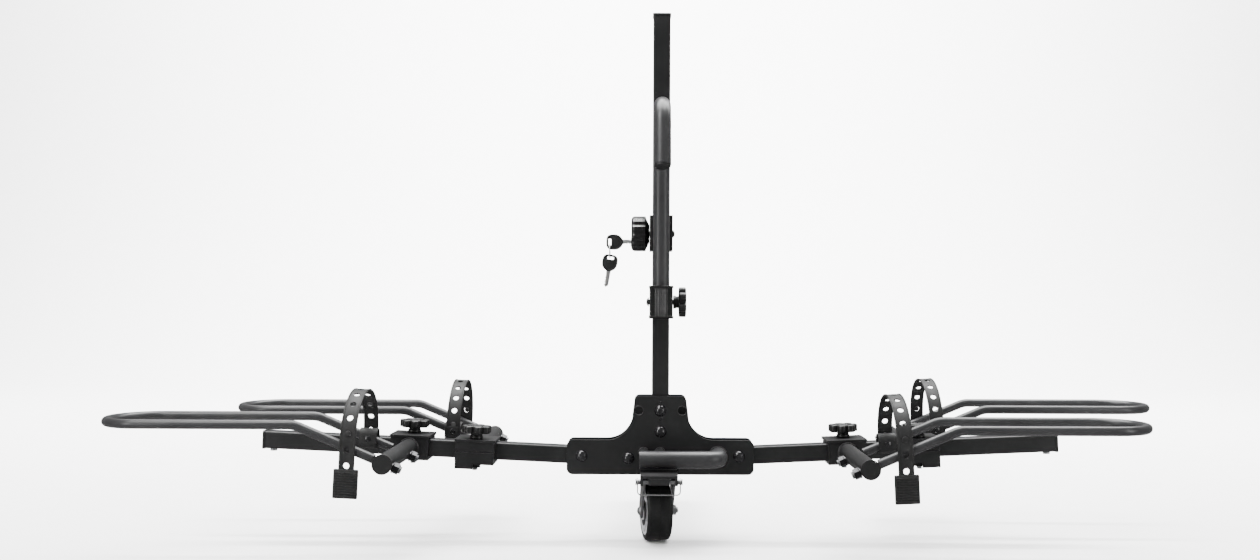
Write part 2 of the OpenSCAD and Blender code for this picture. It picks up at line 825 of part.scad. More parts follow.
// Block that slides on the mast and holds the hook's shank
module hook_block(size) {
    w = size[0];
    h = size[1];
    difference() {
        translate([-w / 2, block_back, -h / 2]) cube([w, block_front - block_back, h]);
        translate([-clamp_bore, -clamp_bore, -h]) cube([2 * clamp_bore, 2 * clamp_bore, 2 * h]);
        translate([0, hook_y, -h]) cylinder(r = hook_d / 2 + 0.1, h = 2 * h);
        translate([0, hook_bolt_y, 0]) x_rod(-w, bolt_hole_r, 2 * w);
    }
}

module near_hook() { color(satin) on_mast(-1, near_clamp_z) hook(near_block[1]); }
module near_hook_plug() { color(plastic) on_mast(-1, near_clamp_z) hook_plug(); }

module near_hook_clamp() {
    lip = 1.6;
    lip_h = 3.5;
    ribs = [-11, -5.5, 0, 5.5, 11];
    rib = [2, 1.4];
    color(plastic) on_mast(-1, near_clamp_z) {
        hook_block(near_block);
        for (x = ribs)
            translate([x - rib[0] / 2, block_front - eps, -near_block[1] / 2 + lip_h])
                cube([rib[0], rib[1], near_block[1] - 2 * lip_h]);
        for (z = [-near_block[1] / 2, near_block[1] / 2 - lip_h])
            translate([-near_block[0] / 2, block_front - eps, z]) cube([near_block[0], lip, lip_h]);
    }
}

module near_hook_bolt() {
    bolt_head = [7, 4];
    reach = 15;
    color(steel) on_mast(-1, near_clamp_z) translate([-near_block[0] / 2, hook_bolt_y, 0])
        rotate([0, -90, 0]) dome_bolt(near_block[0] + reach, bolt_head[0], bolt_head[1]);
}

module near_hook_knob() {
    color(plastic) on_mast(-1, near_clamp_z)
        translate([near_block[0] / 2 + slip, hook_bolt_y, 0]) rotate([0, 90, 0]) difference() {
            star_knob(6);
            knob_hole();
        }
}

module far_hook() { color(satin) on_mast(1, far_clamp_z) hook(far_block[1]); }
module far_hook_plug() { color(plastic) on_mast(1, far_clamp_z) hook_plug(); }
module far_hook_bracket() { color(steel) on_mast(1, far_clamp_z) hook_block(far_block); }

module far_hook_bolt() {
    bolt_head = [6.5, 4];
    reach = 14;
    color(steel) on_mast(1, far_clamp_z) translate([far_block[0] / 2, hook_bolt_y, 0])
        rotate([0, 90, 0]) dome_bolt(far_block[0] + reach, bolt_head[0], bolt_head[1]);
}

// Local frame of the lock knob: z runs out of the bracket's left side
module at_lock() {
    on_mast(1, far_clamp_z) translate([-far_block[0] / 2, hook_bolt_y, 0]) rotate([0, -90, 0])
        children();
}

module lock_knob() {
    flutes = 12;
    flute_r = 3.2;
    flute_at = lock_knob_r + 1.4;
    neck = 5;
    foot_r = 13;
    neck_r = 22;
    color(plastic) at_lock() difference() {
        union() {
            translate([0, 0, slip]) cylinder(r1 = foot_r, r2 = neck_r, h = neck - slip, $fn = 64);
            translate([0, 0, neck - eps])
                cylinder(r = lock_knob_r, h = lock_knob_w - neck + slip, $fn = 64);
        }
        for (i = [0 : flutes - 1])
            rotate([0, 0, (i + 0.5) * 360 / flutes]) translate([flute_at, 0, -1])
                cylinder(r = flute_r, h = lock_knob_w + 4);
        knob_hole();
        translate([-lock_drop, 0, lock_well]) cylinder(r = lock_r + thread_clear, h = lock_knob_w);
    }
}

module lock_cylinder() {
    slot = [8.6, 3];
    slot_floor = 3;
    proud = 1.4;
    start = lock_well + 0.2;
    color(zinc) at_lock() translate([-lock_drop, 0, start]) difference() {
        cylinder(r = lock_r, h = lock_knob_w - start + proud);
        translate([-slot[0] / 2, -slot[1] / 2, slot_floor]) cube([slot[0], slot[1], lock_knob_w]);
    }
}

// Flat key in the plane y = 0: bow centred on the origin, blade along +Z
module key_shape(blade_l) {
    bow = [23.4, 25.4, 5];
    slot = [10, 4.4];
    slot_low = -9.5;
    half_w = 3.7;
    root = bow[1] / 2 - 2;
    point = bow[1] / 2 + blade_l;
    shoulders = [3, 5];
    rotate([90, 0, 0]) {
        translate([0, 0, -bow[2] / 2]) linear_extrude(bow[2]) difference() {
            intersection() {
                circle(r = bow[1] / 2);
                square([bow[0], bow[1]], center = true);
            }
            translate([-slot[0] / 2, slot_low]) square(slot);
        }
        translate([0, 0, -key_t / 2]) linear_extrude(key_t)
            polygon([[-half_w, root], [-half_w, point - shoulders[0]], [0, point],
                [half_w, point - shoulders[1]], [half_w, root]]);
    }
}

function key_x() = -69.5;
function slot_drop() = 7.3;

module lock_key() {
    blade_l = 18;
    color(plastic) on_mast(1, far_clamp_z) translate([key_x(), hook_bolt_y, -lock_drop])
        rotate([0, 90, 0]) key_shape(blade_l);
}

function ring_x() = key_x() - slot_drop();
function ring_z() = -lock_drop - slot_play() - ring_r;
function slot_play() = 3.4;

module key_ring() {
    wire_r = 0.6;
    color(zinc) on_mast(1, far_clamp_z) translate([ring_x(), hook_bolt_y, ring_z()])
        rotate([0, 90, 0]) rotate_extrude() translate([ring_r, 0]) circle(r = wire_r, $fn = 16);
}

module spare_key() {
    blade_l = 28;
    lean = 10;
    drop = ring_r + 7.9;
    color(plastic) on_mast(1, far_clamp_z) translate([ring_x(), hook_bolt_y, ring_z() - drop])
        rotate([0, 180 + lean, 0]) key_shape(blade_l);
}

// ---------- One line for each node ----------

hitch_tongue();
rear_plate();
front_plate();
left_arm();
right_arm();
tube_caps();
arm_stop_screws();
mast();
plate_bolts();
plate_nuts();
caster_bracket();
pull_handle();
lock_pin();
lock_pin_bail();
caster_plate();
caster_fork();
caster_axle();
caster_hub();
caster_tyre();
near_left_clamp();
near_left_hoop();
near_left_cap();
near_left_nuts();
near_left_strap();
near_left_knob();
near_right_clamp();
near_right_hoop();
near_right_cap();
near_right_nuts();
near_right_strap();
near_right_knob();
far_left_clamp();
far_left_hoop();
far_left_cap();
far_left_nuts();
far_left_strap();
far_left_knob();
far_right_clamp();
far_right_hoop();
far_right_cap();
far_right_nuts();
far_right_strap();
far_right_knob();
near_hook();
near_hook_plug();
near_hook_clamp();
near_hook_bolt();
near_hook_knob();
far_hook();
far_hook_plug();
far_hook_bracket();
far_hook_bolt();
lock_knob();
lock_cylinder();
lock_key();
key_ring();
spare_key();
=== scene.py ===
import json
import math

import bmesh
import bpy
from mathutils import Matrix, Vector

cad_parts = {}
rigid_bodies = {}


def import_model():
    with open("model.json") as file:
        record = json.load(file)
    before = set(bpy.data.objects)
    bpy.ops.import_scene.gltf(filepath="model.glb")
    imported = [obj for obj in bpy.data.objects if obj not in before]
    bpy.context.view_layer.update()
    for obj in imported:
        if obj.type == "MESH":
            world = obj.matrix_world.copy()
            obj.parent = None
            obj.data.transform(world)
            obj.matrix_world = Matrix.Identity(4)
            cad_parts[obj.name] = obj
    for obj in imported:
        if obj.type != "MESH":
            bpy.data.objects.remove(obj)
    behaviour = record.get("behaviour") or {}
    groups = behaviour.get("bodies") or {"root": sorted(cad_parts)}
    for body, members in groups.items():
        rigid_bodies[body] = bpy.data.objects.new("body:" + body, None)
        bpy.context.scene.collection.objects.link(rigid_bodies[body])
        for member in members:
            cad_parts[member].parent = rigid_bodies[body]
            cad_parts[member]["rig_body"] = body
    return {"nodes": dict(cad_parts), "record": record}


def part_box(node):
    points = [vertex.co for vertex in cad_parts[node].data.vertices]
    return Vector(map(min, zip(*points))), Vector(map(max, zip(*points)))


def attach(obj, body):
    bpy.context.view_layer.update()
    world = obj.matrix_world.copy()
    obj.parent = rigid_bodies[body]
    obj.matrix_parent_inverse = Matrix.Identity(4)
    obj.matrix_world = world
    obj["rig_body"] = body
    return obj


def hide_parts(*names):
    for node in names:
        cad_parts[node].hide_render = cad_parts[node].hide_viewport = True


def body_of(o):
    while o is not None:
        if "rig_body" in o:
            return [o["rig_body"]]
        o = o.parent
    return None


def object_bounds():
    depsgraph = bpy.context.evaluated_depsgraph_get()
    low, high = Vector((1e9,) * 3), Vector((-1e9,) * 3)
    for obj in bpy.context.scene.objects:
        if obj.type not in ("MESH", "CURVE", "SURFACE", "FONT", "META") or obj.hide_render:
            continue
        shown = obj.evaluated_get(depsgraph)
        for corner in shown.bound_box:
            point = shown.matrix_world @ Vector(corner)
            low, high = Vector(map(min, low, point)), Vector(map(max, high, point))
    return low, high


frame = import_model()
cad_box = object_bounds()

# Hitch mounted bike rack, in metres. The origin is the centre of the hitch pin hole,
# +X is to the right seen from behind the vehicle, +Y towards the vehicle and +Z up.

MM = 0.001


def grey(value, tint=0.0):
    """Grey as a colour, a little bluer by tint."""
    return (value, value, value * (1 + tint), 1)


# ---------- Node trees ----------

class Wire:
    """An output socket. Arithmetic on it adds Math nodes to its tree."""

    def __init__(self, graph, socket):
        self.graph = graph
        self.socket = socket

    def other(self, name):
        """Another output of the same node."""
        return Wire(self.graph, self.socket.node.outputs[name])

    def math(self, operation, *values):
        settings = {"operation": operation}
        return self.graph.add("ShaderNodeMath", settings, dict(enumerate(values)))

    def __add__(self, other):
        return self.math("ADD", self, other)

    def __sub__(self, other):
        return self.math("SUBTRACT", self, other)

    def __rsub__(self, other):
        return self.math("SUBTRACT", other, self)

    def __mul__(self, other):
        return self.math("MULTIPLY", self, other)

    def __truediv__(self, other):
        return self.math("DIVIDE", self, other)

    __radd__ = __add__
    __rmul__ = __mul__


class Graph:
    """A node tree that is filled through one method."""

    def __init__(self, tree):
        self.tree = tree

    def add(self, kind, settings=None, values=None, out=0):
        """Adds a node, makes its settings, then fills its inputs; returns the output named.

        The setting stops gives a Color Ramp its two (place, grey) stops, and a list of wires
        fills an input that takes several."""
        node = self.tree.nodes.new(kind)
        for name, value in (settings or {}).items():
            if name == "stops":
                for stop, (place, shade) in zip(node.color_ramp.elements, value):
                    stop.position = place
                    stop.color = grey(shade)
            else:
                setattr(node, name, value)
        for name, value in (values or {}).items():
            for one in value if isinstance(value, list) else [value]:
                if isinstance(one, Wire):
                    self.tree.links.new(one.socket, node.inputs[name])
                else:
                    node.inputs[name].default_value = one
        return Wire(self, node.outputs[out]) if node.outputs else node

    def ramp(self, factor, *stops):
        return self.add("ShaderNodeValToRGB", {"stops": stops}, {"Fac": factor})


# ---------- Finishes ----------

# How closely edges are looked for, and how sharply wear keeps to them.
EDGE_SAMPLES = 6
EDGE_GAIN = 9


class Finish(Graph):
    """A material under construction, with the patterns that its surface needs."""

    def __init__(self, name):
        self.material = bpy.data.materials.new(name)
        self.material.use_nodes = True
        super().__init__(self.material.node_tree)
        self.tree.nodes.clear()
        self.place = self.add("ShaderNodeTexCoord", out="Object")

    def noise(self, size, detail=3.0, stretch=None):
        """Noise whose features are about size metres across, and longer along stretch."""
        place = self.place
        if stretch:
            place = self.add("ShaderNodeMapping", {"vector_type": "POINT"},
                             {"Vector": place, "Scale": stretch})
        return self.add("ShaderNodeTexNoise", None,
                        {"Vector": place, "Scale": 1 / size, "Detail": detail})

    def cells(self, size):
        return self.add("ShaderNodeTexVoronoi", None, {"Vector": self.place, "Scale": 1 / size})

    def mix(self, factor, dark, light):
        return self.add("ShaderNodeMix", {"data_type": "RGBA"}, {0: factor, 6: dark, 7: light}, 2)

    def rounded(self, radius):
        """Normal that rounds every edge over radius."""
        return self.add("ShaderNodeBevel", {"samples": EDGE_SAMPLES}, {"Radius": radius})

    def wear(self, edge, amount):
        """1 on the edges, 0 on flat faces, broken up by noise."""
        true = self.add("ShaderNodeNewGeometry", out="Normal")
        dot = self.add("ShaderNodeVectorMath", {"operation": "DOT_PRODUCT"}, {0: edge, 1: true},
                       "Value")
        rub = self.noise(9 * MM, 4.0)
        worn = (1 - dot) * EDGE_GAIN + (rub - 0.5) * 0.5
        return self.ramp(worn, (0.05, 0.0), (1 - amount, 1.0))

    def bump(self, height, depth, normal=None, strength=1.0):
        values = {"Height": height, "Distance": depth, "Strength": strength}
        if normal:
            values["Normal"] = normal
        return self.add("ShaderNodeBump", None, values)

    def finish(self, **values):
        shader = self.add("ShaderNodeBsdfPrincipled", None,
                          {name.replace("_", " "): value for name, value in values.items()})
        self.add("ShaderNodeOutputMaterial", None, {"Surface": shader})
        return self.material


def powder_coat(name, shade, gloss, peel):
    """Sprayed and baked coat: orange peel, faint dust, thin edges."""
    f = Finish(name)
    edge = f.rounded(1.2 * MM)
    rub = f.wear(edge, 0.35)
    cloud = f.noise(60 * MM, 5.0)
    speck = f.noise(0.7 * MM, 2.0)
    dust = f.ramp(cloud, (0.35, 0.0), (0.75, 1.0))
    base = f.mix(dust, grey(shade, 0.05), grey(shade * 1.45, 0.04))
    colour = f.mix(rub * 0.3, base, grey(shade * 3.2, 0.03))
    rough = f.ramp(cloud * 0.7 + speck * 0.3, (0.3, gloss - 0.05), (0.7, gloss + 0.07))
    coat = f.bump(f.noise(1.6 * MM, 2.0) * 0.7 + speck * 0.3, peel, edge, 0.5)
    return f.finish(Base_Color=colour, Roughness=rough, Normal=coat, Specular_IOR_Level=0.35)


def blackened(name):
    """Black plated fastener with bright rub marks on its edges."""
    f = Finish(name)
    edge = f.rounded(0.4 * MM)
    rub = f.wear(edge, 0.5)
    stain = f.noise(5 * MM, 4.0)
    colour = f.mix(stain, grey(0.004), grey(0.012, 0.1))
    return f.finish(Base_Color=f.mix(rub * 0.3, colour, grey(0.12)), Metallic=rub * 0.3,
                    Roughness=f.ramp(stain, (0.3, 0.10), (0.7, 0.19)),
                    Normal=f.bump(f.noise(0.5 * MM), 0.015 * MM, edge))


def zinc_plate(name, shade, tint):
    """Bright zinc with soft spangle, drawn grain and handling marks."""
    f = Finish(name)
    edge = f.rounded(0.3 * MM)
    spangle = f.cells(3.5 * MM)
    cloud = f.noise(12 * MM, 5.0)
    grain = f.noise(0.4 * MM, 2.0, (1, 8, 8))
    colour = f.mix(cloud, grey(shade * 0.72, tint), grey(shade, tint))
    mark = f.ramp(f.noise(3 * MM, 6.0), (0.62, 0.0), (0.74, 1.0))
    rough = f.ramp(cloud * 0.5 + spangle * 0.5, (0.15, 0.24), (0.75, 0.42))
    return f.finish(Base_Color=f.mix(mark * 0.5, colour, grey(shade * 0.45, tint)), Metallic=0.95,
                    Roughness=rough, Normal=f.bump(grain, 0.025 * MM, edge))


def moulded(name, shade, gloss, grain_size, grain_depth, tint=0.0):
    """Injection moulded plastic: eroded grain, flow clouding and scuffed edges."""
    f = Finish(name)
    edge = f.rounded(0.5 * MM)
    rub = f.wear(edge, 0.4)
    flow = f.noise(25 * MM, 3.0, (1, 1, 3))
    colour = f.mix(flow, grey(shade, tint), grey(shade * 1.3, tint))
    rough = f.ramp(f.noise(6 * MM, 5.0), (0.3, gloss), (0.7, gloss + 0.12))
    skin = f.bump(f.cells(grain_size), grain_depth, edge, 0.6)
    worn = grey(min(shade * 2.4, 0.75), tint)
    return f.finish(Base_Color=f.mix(rub * 0.3, colour, worn), Roughness=rough, Normal=skin,
                    Specular_IOR_Level=0.45)


def rubber(name, shade, bloom):
    """Vulcanised rubber with a grey bloom, mould texture and small nicks."""
    f = Finish(name)
    edge = f.rounded(0.4 * MM)
    haze = f.ramp(f.noise(14 * MM, 6.0), (0.4, 0.0), (0.75, 1.0))
    nick = f.ramp(f.noise(1.4 * MM, 5.0), (0.64, 0.0), (0.7, 1.0))
    colour = f.mix(haze, grey(shade), grey(shade * bloom))
    rough = f.ramp(haze, (0.0, 0.55), (1.0, 0.74))
    skin = f.bump(f.noise(0.5 * MM, 4.0) - nick * 0.6, 0.08 * MM, edge, 0.6)
    return f.finish(Base_Color=colour, Roughness=rough, Normal=skin, Specular_IOR_Level=0.3)


def weld_metal(name):
    """Coated weld bead: glossier than the tube, with heat ripples."""
    f = Finish(name)
    spot = f.noise(2.5 * MM, 5.0)
    return f.finish(Base_Color=f.mix(spot, grey(0.006), grey(0.022)),
                    Roughness=f.ramp(spot, (0.3, 0.28), (0.7, 0.5)),
                    Normal=f.bump(f.noise(0.9 * MM, 4.0), 0.15 * MM))


def pale_floor(name):
    f = Finish(name)
    grain = f.noise(0.05, 6.0)
    colour = f.mix(grain, grey(0.86), grey(0.9))
    return f.finish(Base_Color=colour, Roughness=0.7, Normal=f.bump(grain, 0.2 * MM))


STEEL = powder_coat("black_powder_coat", 0.0065, 0.38, 0.10 * MM)
TUBE_COAT = powder_coat("satin_tube_coat", 0.015, 0.33, 0.06 * MM)
PLASTIC = moulded("knob_plastic", 0.005, 0.28, 0.8 * MM, 0.03 * MM)
GLOSS = moulded("gloss_plastic", 0.004, 0.13, 1.2 * MM, 0.012 * MM)
CAP = moulded("cap_plastic", 0.0045, 0.42, 0.6 * MM, 0.04 * MM)
HUB = moulded("grey_hub_plastic", 0.34, 0.38, 0.9 * MM, 0.03 * MM, 0.03)
RUBBER = rubber("strap_rubber", 0.0075, 1.7)
TYRE = rubber("tyre_rubber", 0.003, 2.0)
ZINC = zinc_plate("bright_zinc", 0.30, 0.02)
NUT = zinc_plate("dark_zinc", 0.04, 0.03)
FORK = zinc_plate("pressed_zinc", 0.22, 0.02)
WIRE = zinc_plate("drawn_wire", 0.55, 0.0)
BOLT = blackened("black_fastener")
WELD = weld_metal("coated_weld")

SLOT_FINISH = {"black_steel": STEEL, "satin_tube": TUBE_COAT, "black_fastener": BOLT,
               "black_plastic": PLASTIC, "grey_plastic": HUB, "black_rubber": RUBBER,
               "zinc": ZINC}
NODE_FINISH = {"tube_caps": CAP, "caster_tyre": TYRE, "lock_pin_bail": WIRE,
               "caster_plate": STEEL, "caster_fork": FORK}


def repaint_frame():
    slots = {entry["node"]: entry["material_slot"] for entry in frame["record"]["subparts"]}
    for node, thing in frame["nodes"].items():
        finish = NODE_FINISH.get(node, SLOT_FINISH[slots[node]])
        if node.endswith(("_cap", "_plug")):
            finish = CAP
        elif node.endswith("_nuts"):
            finish = NUT
        thing.data.materials.clear()
        thing.data.materials.append(finish)


repaint_frame()


# ---------- Making pieces ----------

def new_object(data, name="helper"):
    thing = bpy.data.objects.new(name, data)
    bpy.context.scene.collection.objects.link(thing)
    return thing


def add_piece(name, mesh, finish, body, place, node=None):
    """Puts a finished mesh at its place, on its CAD body, instead of a CAD node if one is given."""
    mesh.transform(place)
    if place.determinant() < 0:
        mesh.flip_normals()
    mesh.materials.clear()
    mesh.materials.append(finish)
    thing = new_object(mesh, name)
    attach(thing, body)
    if node:
        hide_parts(node)


def path_object(points):
    """Poly curve through the points, for a tree to read."""
    curve = bpy.data.curves.new("path", "CURVE")
    curve.dimensions = "3D"
    spline = curve.splines.new("POLY")
    spline.points.add(len(points) - 1)
    for node, point in zip(spline.points, points):
        node.co = (*point, 1)
    return new_object(curve)


def plain_copy(thing):
    """The object's mesh as its curve or modifier makes it; the object is removed."""
    graph = bpy.context.evaluated_depsgraph_get()
    mesh = bpy.data.meshes.new_from_object(thing.evaluated_get(graph))
    thing.modifiers.clear()
    bpy.data.objects.remove(thing)
    return mesh


SOCKETS = {"Path": "NodeSocketObject", "Source": "NodeSocketObject",
           "Count": "NodeSocketInt", "Seed": "NodeSocketInt", "Sides": "NodeSocketInt",
           "Finish": "NodeSocketMaterial"}


class Growth(Graph):
    """A Geometry Nodes tree with named inputs."""

    def __init__(self, name, inputs):
        tree = bpy.data.node_groups.new(name, "GeometryNodeTree")
        super().__init__(tree)
        for label in [*inputs, "Finish"]:
            kind = SOCKETS.get(label, "NodeSocketFloat")
            tree.interface.new_socket(label, in_out="INPUT", socket_type=kind)
        tree.interface.new_socket("Mesh", in_out="OUTPUT", socket_type="NodeSocketGeometry")
        self.inputs = self.add("NodeGroupInput")

    def given(self, label):
        return self.inputs.other(label)

    def read(self, label):
        return self.add("GeometryNodeObjectInfo", None, {"Object": self.given(label)}, "Geometry")

    def vector(self, x=0.0, y=0.0, z=0.0):
        return self.add("ShaderNodeCombineXYZ", None, {"X": x, "Y": y, "Z": z})

    def end(self, geometry, crease=0.6):
        """Realizes, shades smooth between creases, and sets the finish."""
        real = self.add("GeometryNodeRealizeInstances", None, {"Geometry": geometry})
        soft = self.add("GeometryNodeSetShadeSmooth", {"domain": "FACE"},
                        {"Geometry": real, "Shade Smooth": True})
        angle = self.add("GeometryNodeInputMeshEdgeAngle")
        sharp = self.add("FunctionNodeCompare", {"data_type": "FLOAT", "operation": "GREATER_THAN"},
                         {0: angle, 1: crease})
        done = self.add("GeometryNodeSetShadeSmooth", {"domain": "EDGE"},
                        {"Geometry": soft, "Selection": sharp, "Shade Smooth": False})
        done = self.add("GeometryNodeSetMaterial", None,
                        {"Geometry": done, "Material": self.given("Finish")})
        self.add("NodeGroupOutput", None, {0: done})
        return self.tree


def grow(tree, finish, **values):
    """Runs a tree with these inputs and returns the plain mesh; helper objects are removed."""
    host = new_object(bpy.data.meshes.new("host"))
    modifier = host.modifiers.new("growth", "NODES")
    modifier.node_group = tree
    values["Finish"] = finish
    for item in tree.interface.items_tree:
        if item.in_out == "INPUT":
            modifier[item.identifier] = values[item.name]
    mesh = plain_copy(host)
    for thing in [v for v in values.values() if isinstance(v, bpy.types.Object)]:
        bpy.data.objects.remove(thing)
    return mesh


def rod_tree():
    """Round rod of one radius along a path, with closed ends."""
    g = Growth("rod", ["Path", "Radius", "Sides"])
    ring = g.add("GeometryNodeCurvePrimitiveCircle", None,
                 {"Resolution": g.given("Sides"), "Radius": g.given("Radius")})
    tube = g.add("GeometryNodeCurveToMesh", None,
                 {"Curve": g.read("Path"), "Profile Curve": ring, "Fill Caps": True})
    return g.end(tube, crease=0.9)


def thread_tree():
    """Screw thread: a ridge that winds up a core, from z = 0."""
    g = Growth("screw_thread", ["Radius", "Pitch", "Length"])
    depth = g.given("Pitch") * 0.45
    turns = g.given("Length") / g.given("Pitch")
    core_r = g.given("Radius") - depth
    winding = g.add("GeometryNodeCurveSpiral", None,
                    {"Resolution": 20, "Rotations": turns, "Start Radius": core_r,
                     "End Radius": core_r, "Height": g.given("Length")})
    ridge = g.add("GeometryNodeCurvePrimitiveCircle", None,
                  {"Resolution": 4, "Radius": depth})
    wound = g.add("GeometryNodeCurveToMesh", None,
                  {"Curve": winding, "Profile Curve": ridge, "Fill Caps": True})
    core = g.add("GeometryNodeMeshCylinder", None,
                 {"Vertices": 24, "Radius": core_r + depth * 0.2, "Depth": g.given("Length")})
    core = g.add("GeometryNodeTransform", None,
                 {"Geometry": core, "Translation": g.vector(z=g.given("Length") * 0.5)})
    both = g.add("GeometryNodeJoinGeometry", None, {0: [wound, core]})
    return g.end(both, crease=0.7)


def bead_tree():
    """Weld bead: overlapping ripples along a path."""
    g = Growth("weld_bead", ["Path", "Radius", "Seed"])
    points = g.add("GeometryNodeResampleCurve", {"mode": "LENGTH"},
                   {"Curve": g.read("Path"), "Length": g.given("Radius") * 0.75})
    ripple = g.add("GeometryNodeMeshIcoSphere", None,
                   {"Radius": g.given("Radius"), "Subdivisions": 2})
    tangent = g.add("GeometryNodeInputTangent")
    turn = g.add("FunctionNodeAlignEulerToVector", {"axis": "X"}, {"Vector": tangent})
    size = g.add("FunctionNodeRandomValue", {"data_type": "FLOAT"},
                 {2: 0.8, 3: 1.15, "Seed": g.given("Seed")}, 1)
    ripples = g.add("GeometryNodeInstanceOnPoints", None,
                    {"Points": points, "Instance": ripple, "Rotation": turn,
                     "Scale": g.vector(size * 0.7, size, size)})
    return g.end(ripples, crease=1.2)


def around_tree():
    """Copies of a source spread round +Z, each turned to face out along its own +X."""
    g = Growth("around", ["Source", "Count", "Radius"])
    spots = g.add("GeometryNodeMeshCircle", None,
                  {"Vertices": g.given("Count"), "Radius": g.given("Radius")})
    turn = g.add("FunctionNodeAlignEulerToVector", {"axis": "X"},
                 {"Vector": g.add("GeometryNodeInputPosition")})
    copies = g.add("GeometryNodeInstanceOnPoints", None,
                   {"Points": spots, "Instance": g.read("Source"), "Rotation": turn})
    return g.end(copies)


def row_tree():
    """Copies of a source in a row along +Z."""
    g = Growth("row", ["Source", "Count", "Pitch"])
    spots = g.add("GeometryNodeMeshLine", None,
                  {"Count": g.given("Count"), "Offset": g.vector(z=g.given("Pitch"))})
    copies = g.add("GeometryNodeInstanceOnPoints", None,
                   {"Points": spots, "Instance": g.read("Source")})
    return g.end(copies)


def band_tree():
    """Punched band: links along x are chained, then laid on a path that keeps to x = 0.

    A link's y becomes the band's width along x, and its z the height off the path."""
    g = Growth("punched_band", ["Path", "Source", "Count", "Pitch"])
    spots = g.add("GeometryNodeMeshLine", None,
                  {"Count": g.given("Count"), "Offset": g.vector(x=g.given("Pitch"))})
    links = g.add("GeometryNodeInstanceOnPoints", None,
                  {"Points": spots, "Instance": g.read("Source")})
    chain = g.add("GeometryNodeRealizeInstances", None, {"Geometry": links})
    chain = g.add("GeometryNodeMergeByDistance", None, {"Geometry": chain, "Distance": 0.02 * MM})
    along = g.add("ShaderNodeSeparateXYZ", None, {0: g.add("GeometryNodeInputPosition")})
    width, height = along.other("Y"), along.other("Z")
    on_path = g.add("GeometryNodeSampleCurve", {"mode": "LENGTH"},
                    {"Curves": g.read("Path"), "Length": along}, "Position")
    up = g.add("ShaderNodeVectorMath", {"operation": "CROSS_PRODUCT"},
               {0: g.vector(x=1.0), 1: on_path.other("Tangent")})
    lift = g.add("ShaderNodeVectorMath", {"operation": "SCALE"}, {0: up, "Scale": height})
    spot = g.add("ShaderNodeVectorMath", {"operation": "ADD"}, {0: on_path, 1: lift})
    spot = g.add("ShaderNodeVectorMath", {"operation": "ADD"}, {0: spot, 1: g.vector(x=width)})
    laid = g.add("GeometryNodeSetPosition", None, {"Geometry": chain, "Position": spot})
    return g.end(laid, crease=0.8)


ROD = rod_tree()
THREAD = thread_tree()
BEAD = bead_tree()
AROUND = around_tree()
ROW = row_tree()
BAND = band_tree()


def arc(centre, start, turn_to, radius, sweep, steps):
    """Points of an arc that starts in direction start and turns towards turn_to."""
    points = []
    for i in range(steps + 1):
        a = sweep * i / steps
        points.append(Vector(centre) + radius * (math.cos(a) * Vector(start)
                                                 + math.sin(a) * Vector(turn_to)))
    return points


def round_turn(steps, shift=0.0):
    """(cosine, sine) of evenly spread angles all the way round."""
    angles = (2 * math.pi * (i + shift) / steps for i in range(steps))
    return [(math.cos(a), math.sin(a)) for a in angles]


def quarter_turn(steps):
    """(cosine, sine) of angles from 0 to 90 degrees."""
    angles = (math.pi / 2 * i / steps for i in range(steps + 1))
    return [(math.cos(a), math.sin(a)) for a in angles]


def bridge(shape, *rings):
    """Faces from each ring of vertices to the next; a ring of one vertex is a pole."""
    for low, high in zip(rings, rings[1:]):
        for i in range(max(len(low), len(high))):
            corners = [low[i % len(low)], low[(i + 1) % len(low)],
                       high[(i + 1) % len(high)], high[i % len(high)]]
            shape.faces.new(dict.fromkeys(corners))


def turned(profile, sides=64, closed=False):
    """Lathe work: (radius, z) points spun round +Z. A zero radius closes an end."""
    shape = bmesh.new()
    rings = []
    for radius, z in profile:
        spokes = round_turn(sides if radius else 1)
        rings.append([shape.verts.new((radius * c, radius * s, z)) for c, s in spokes])
    if closed:
        rings.append(rings[0])
    bridge(shape, *rings)
    bmesh.ops.recalc_face_normals(shape, faces=shape.faces)
    return smooth_mesh(shape, "turned")


def smooth_mesh(shape, name, crease=0.6):
    """Turns a bmesh into a mesh that is smooth except at edges sharper than crease."""
    for face in shape.faces:
        face.smooth = True
    for edge in shape.edges:
        edge.smooth = len(edge.link_faces) < 2 or edge.calc_face_angle(0) < crease
    return plain_mesh(shape, name)


def plain_mesh(shape, name):
    mesh = bpy.data.meshes.new(name)
    shape.to_mesh(mesh)
    shape.free()
    return mesh


def joined(meshes, name):
    """One mesh from several, each left as its own closed shell."""
    shape = bmesh.new()
    for mesh in meshes:
        shape.from_mesh(mesh)
    return plain_mesh(shape, name)


def moved(mesh, *place):
    for step in place:
        mesh.transform(step)
    return mesh


def block(size, radius, steps=3):
    """Box centred on the origin with rounded edges."""
    shape = bmesh.new()
    bmesh.ops.create_cube(shape, size=1)
    bmesh.ops.scale(shape, verts=shape.verts, vec=size)
    bmesh.ops.bevel(shape, geom=shape.edges, offset=radius, segments=steps, profile=0.5,
                    affect="EDGES", clamp_overlap=True)
    return smooth_mesh(shape, "block", 0.9)


SAME_SPOT = 1e-6


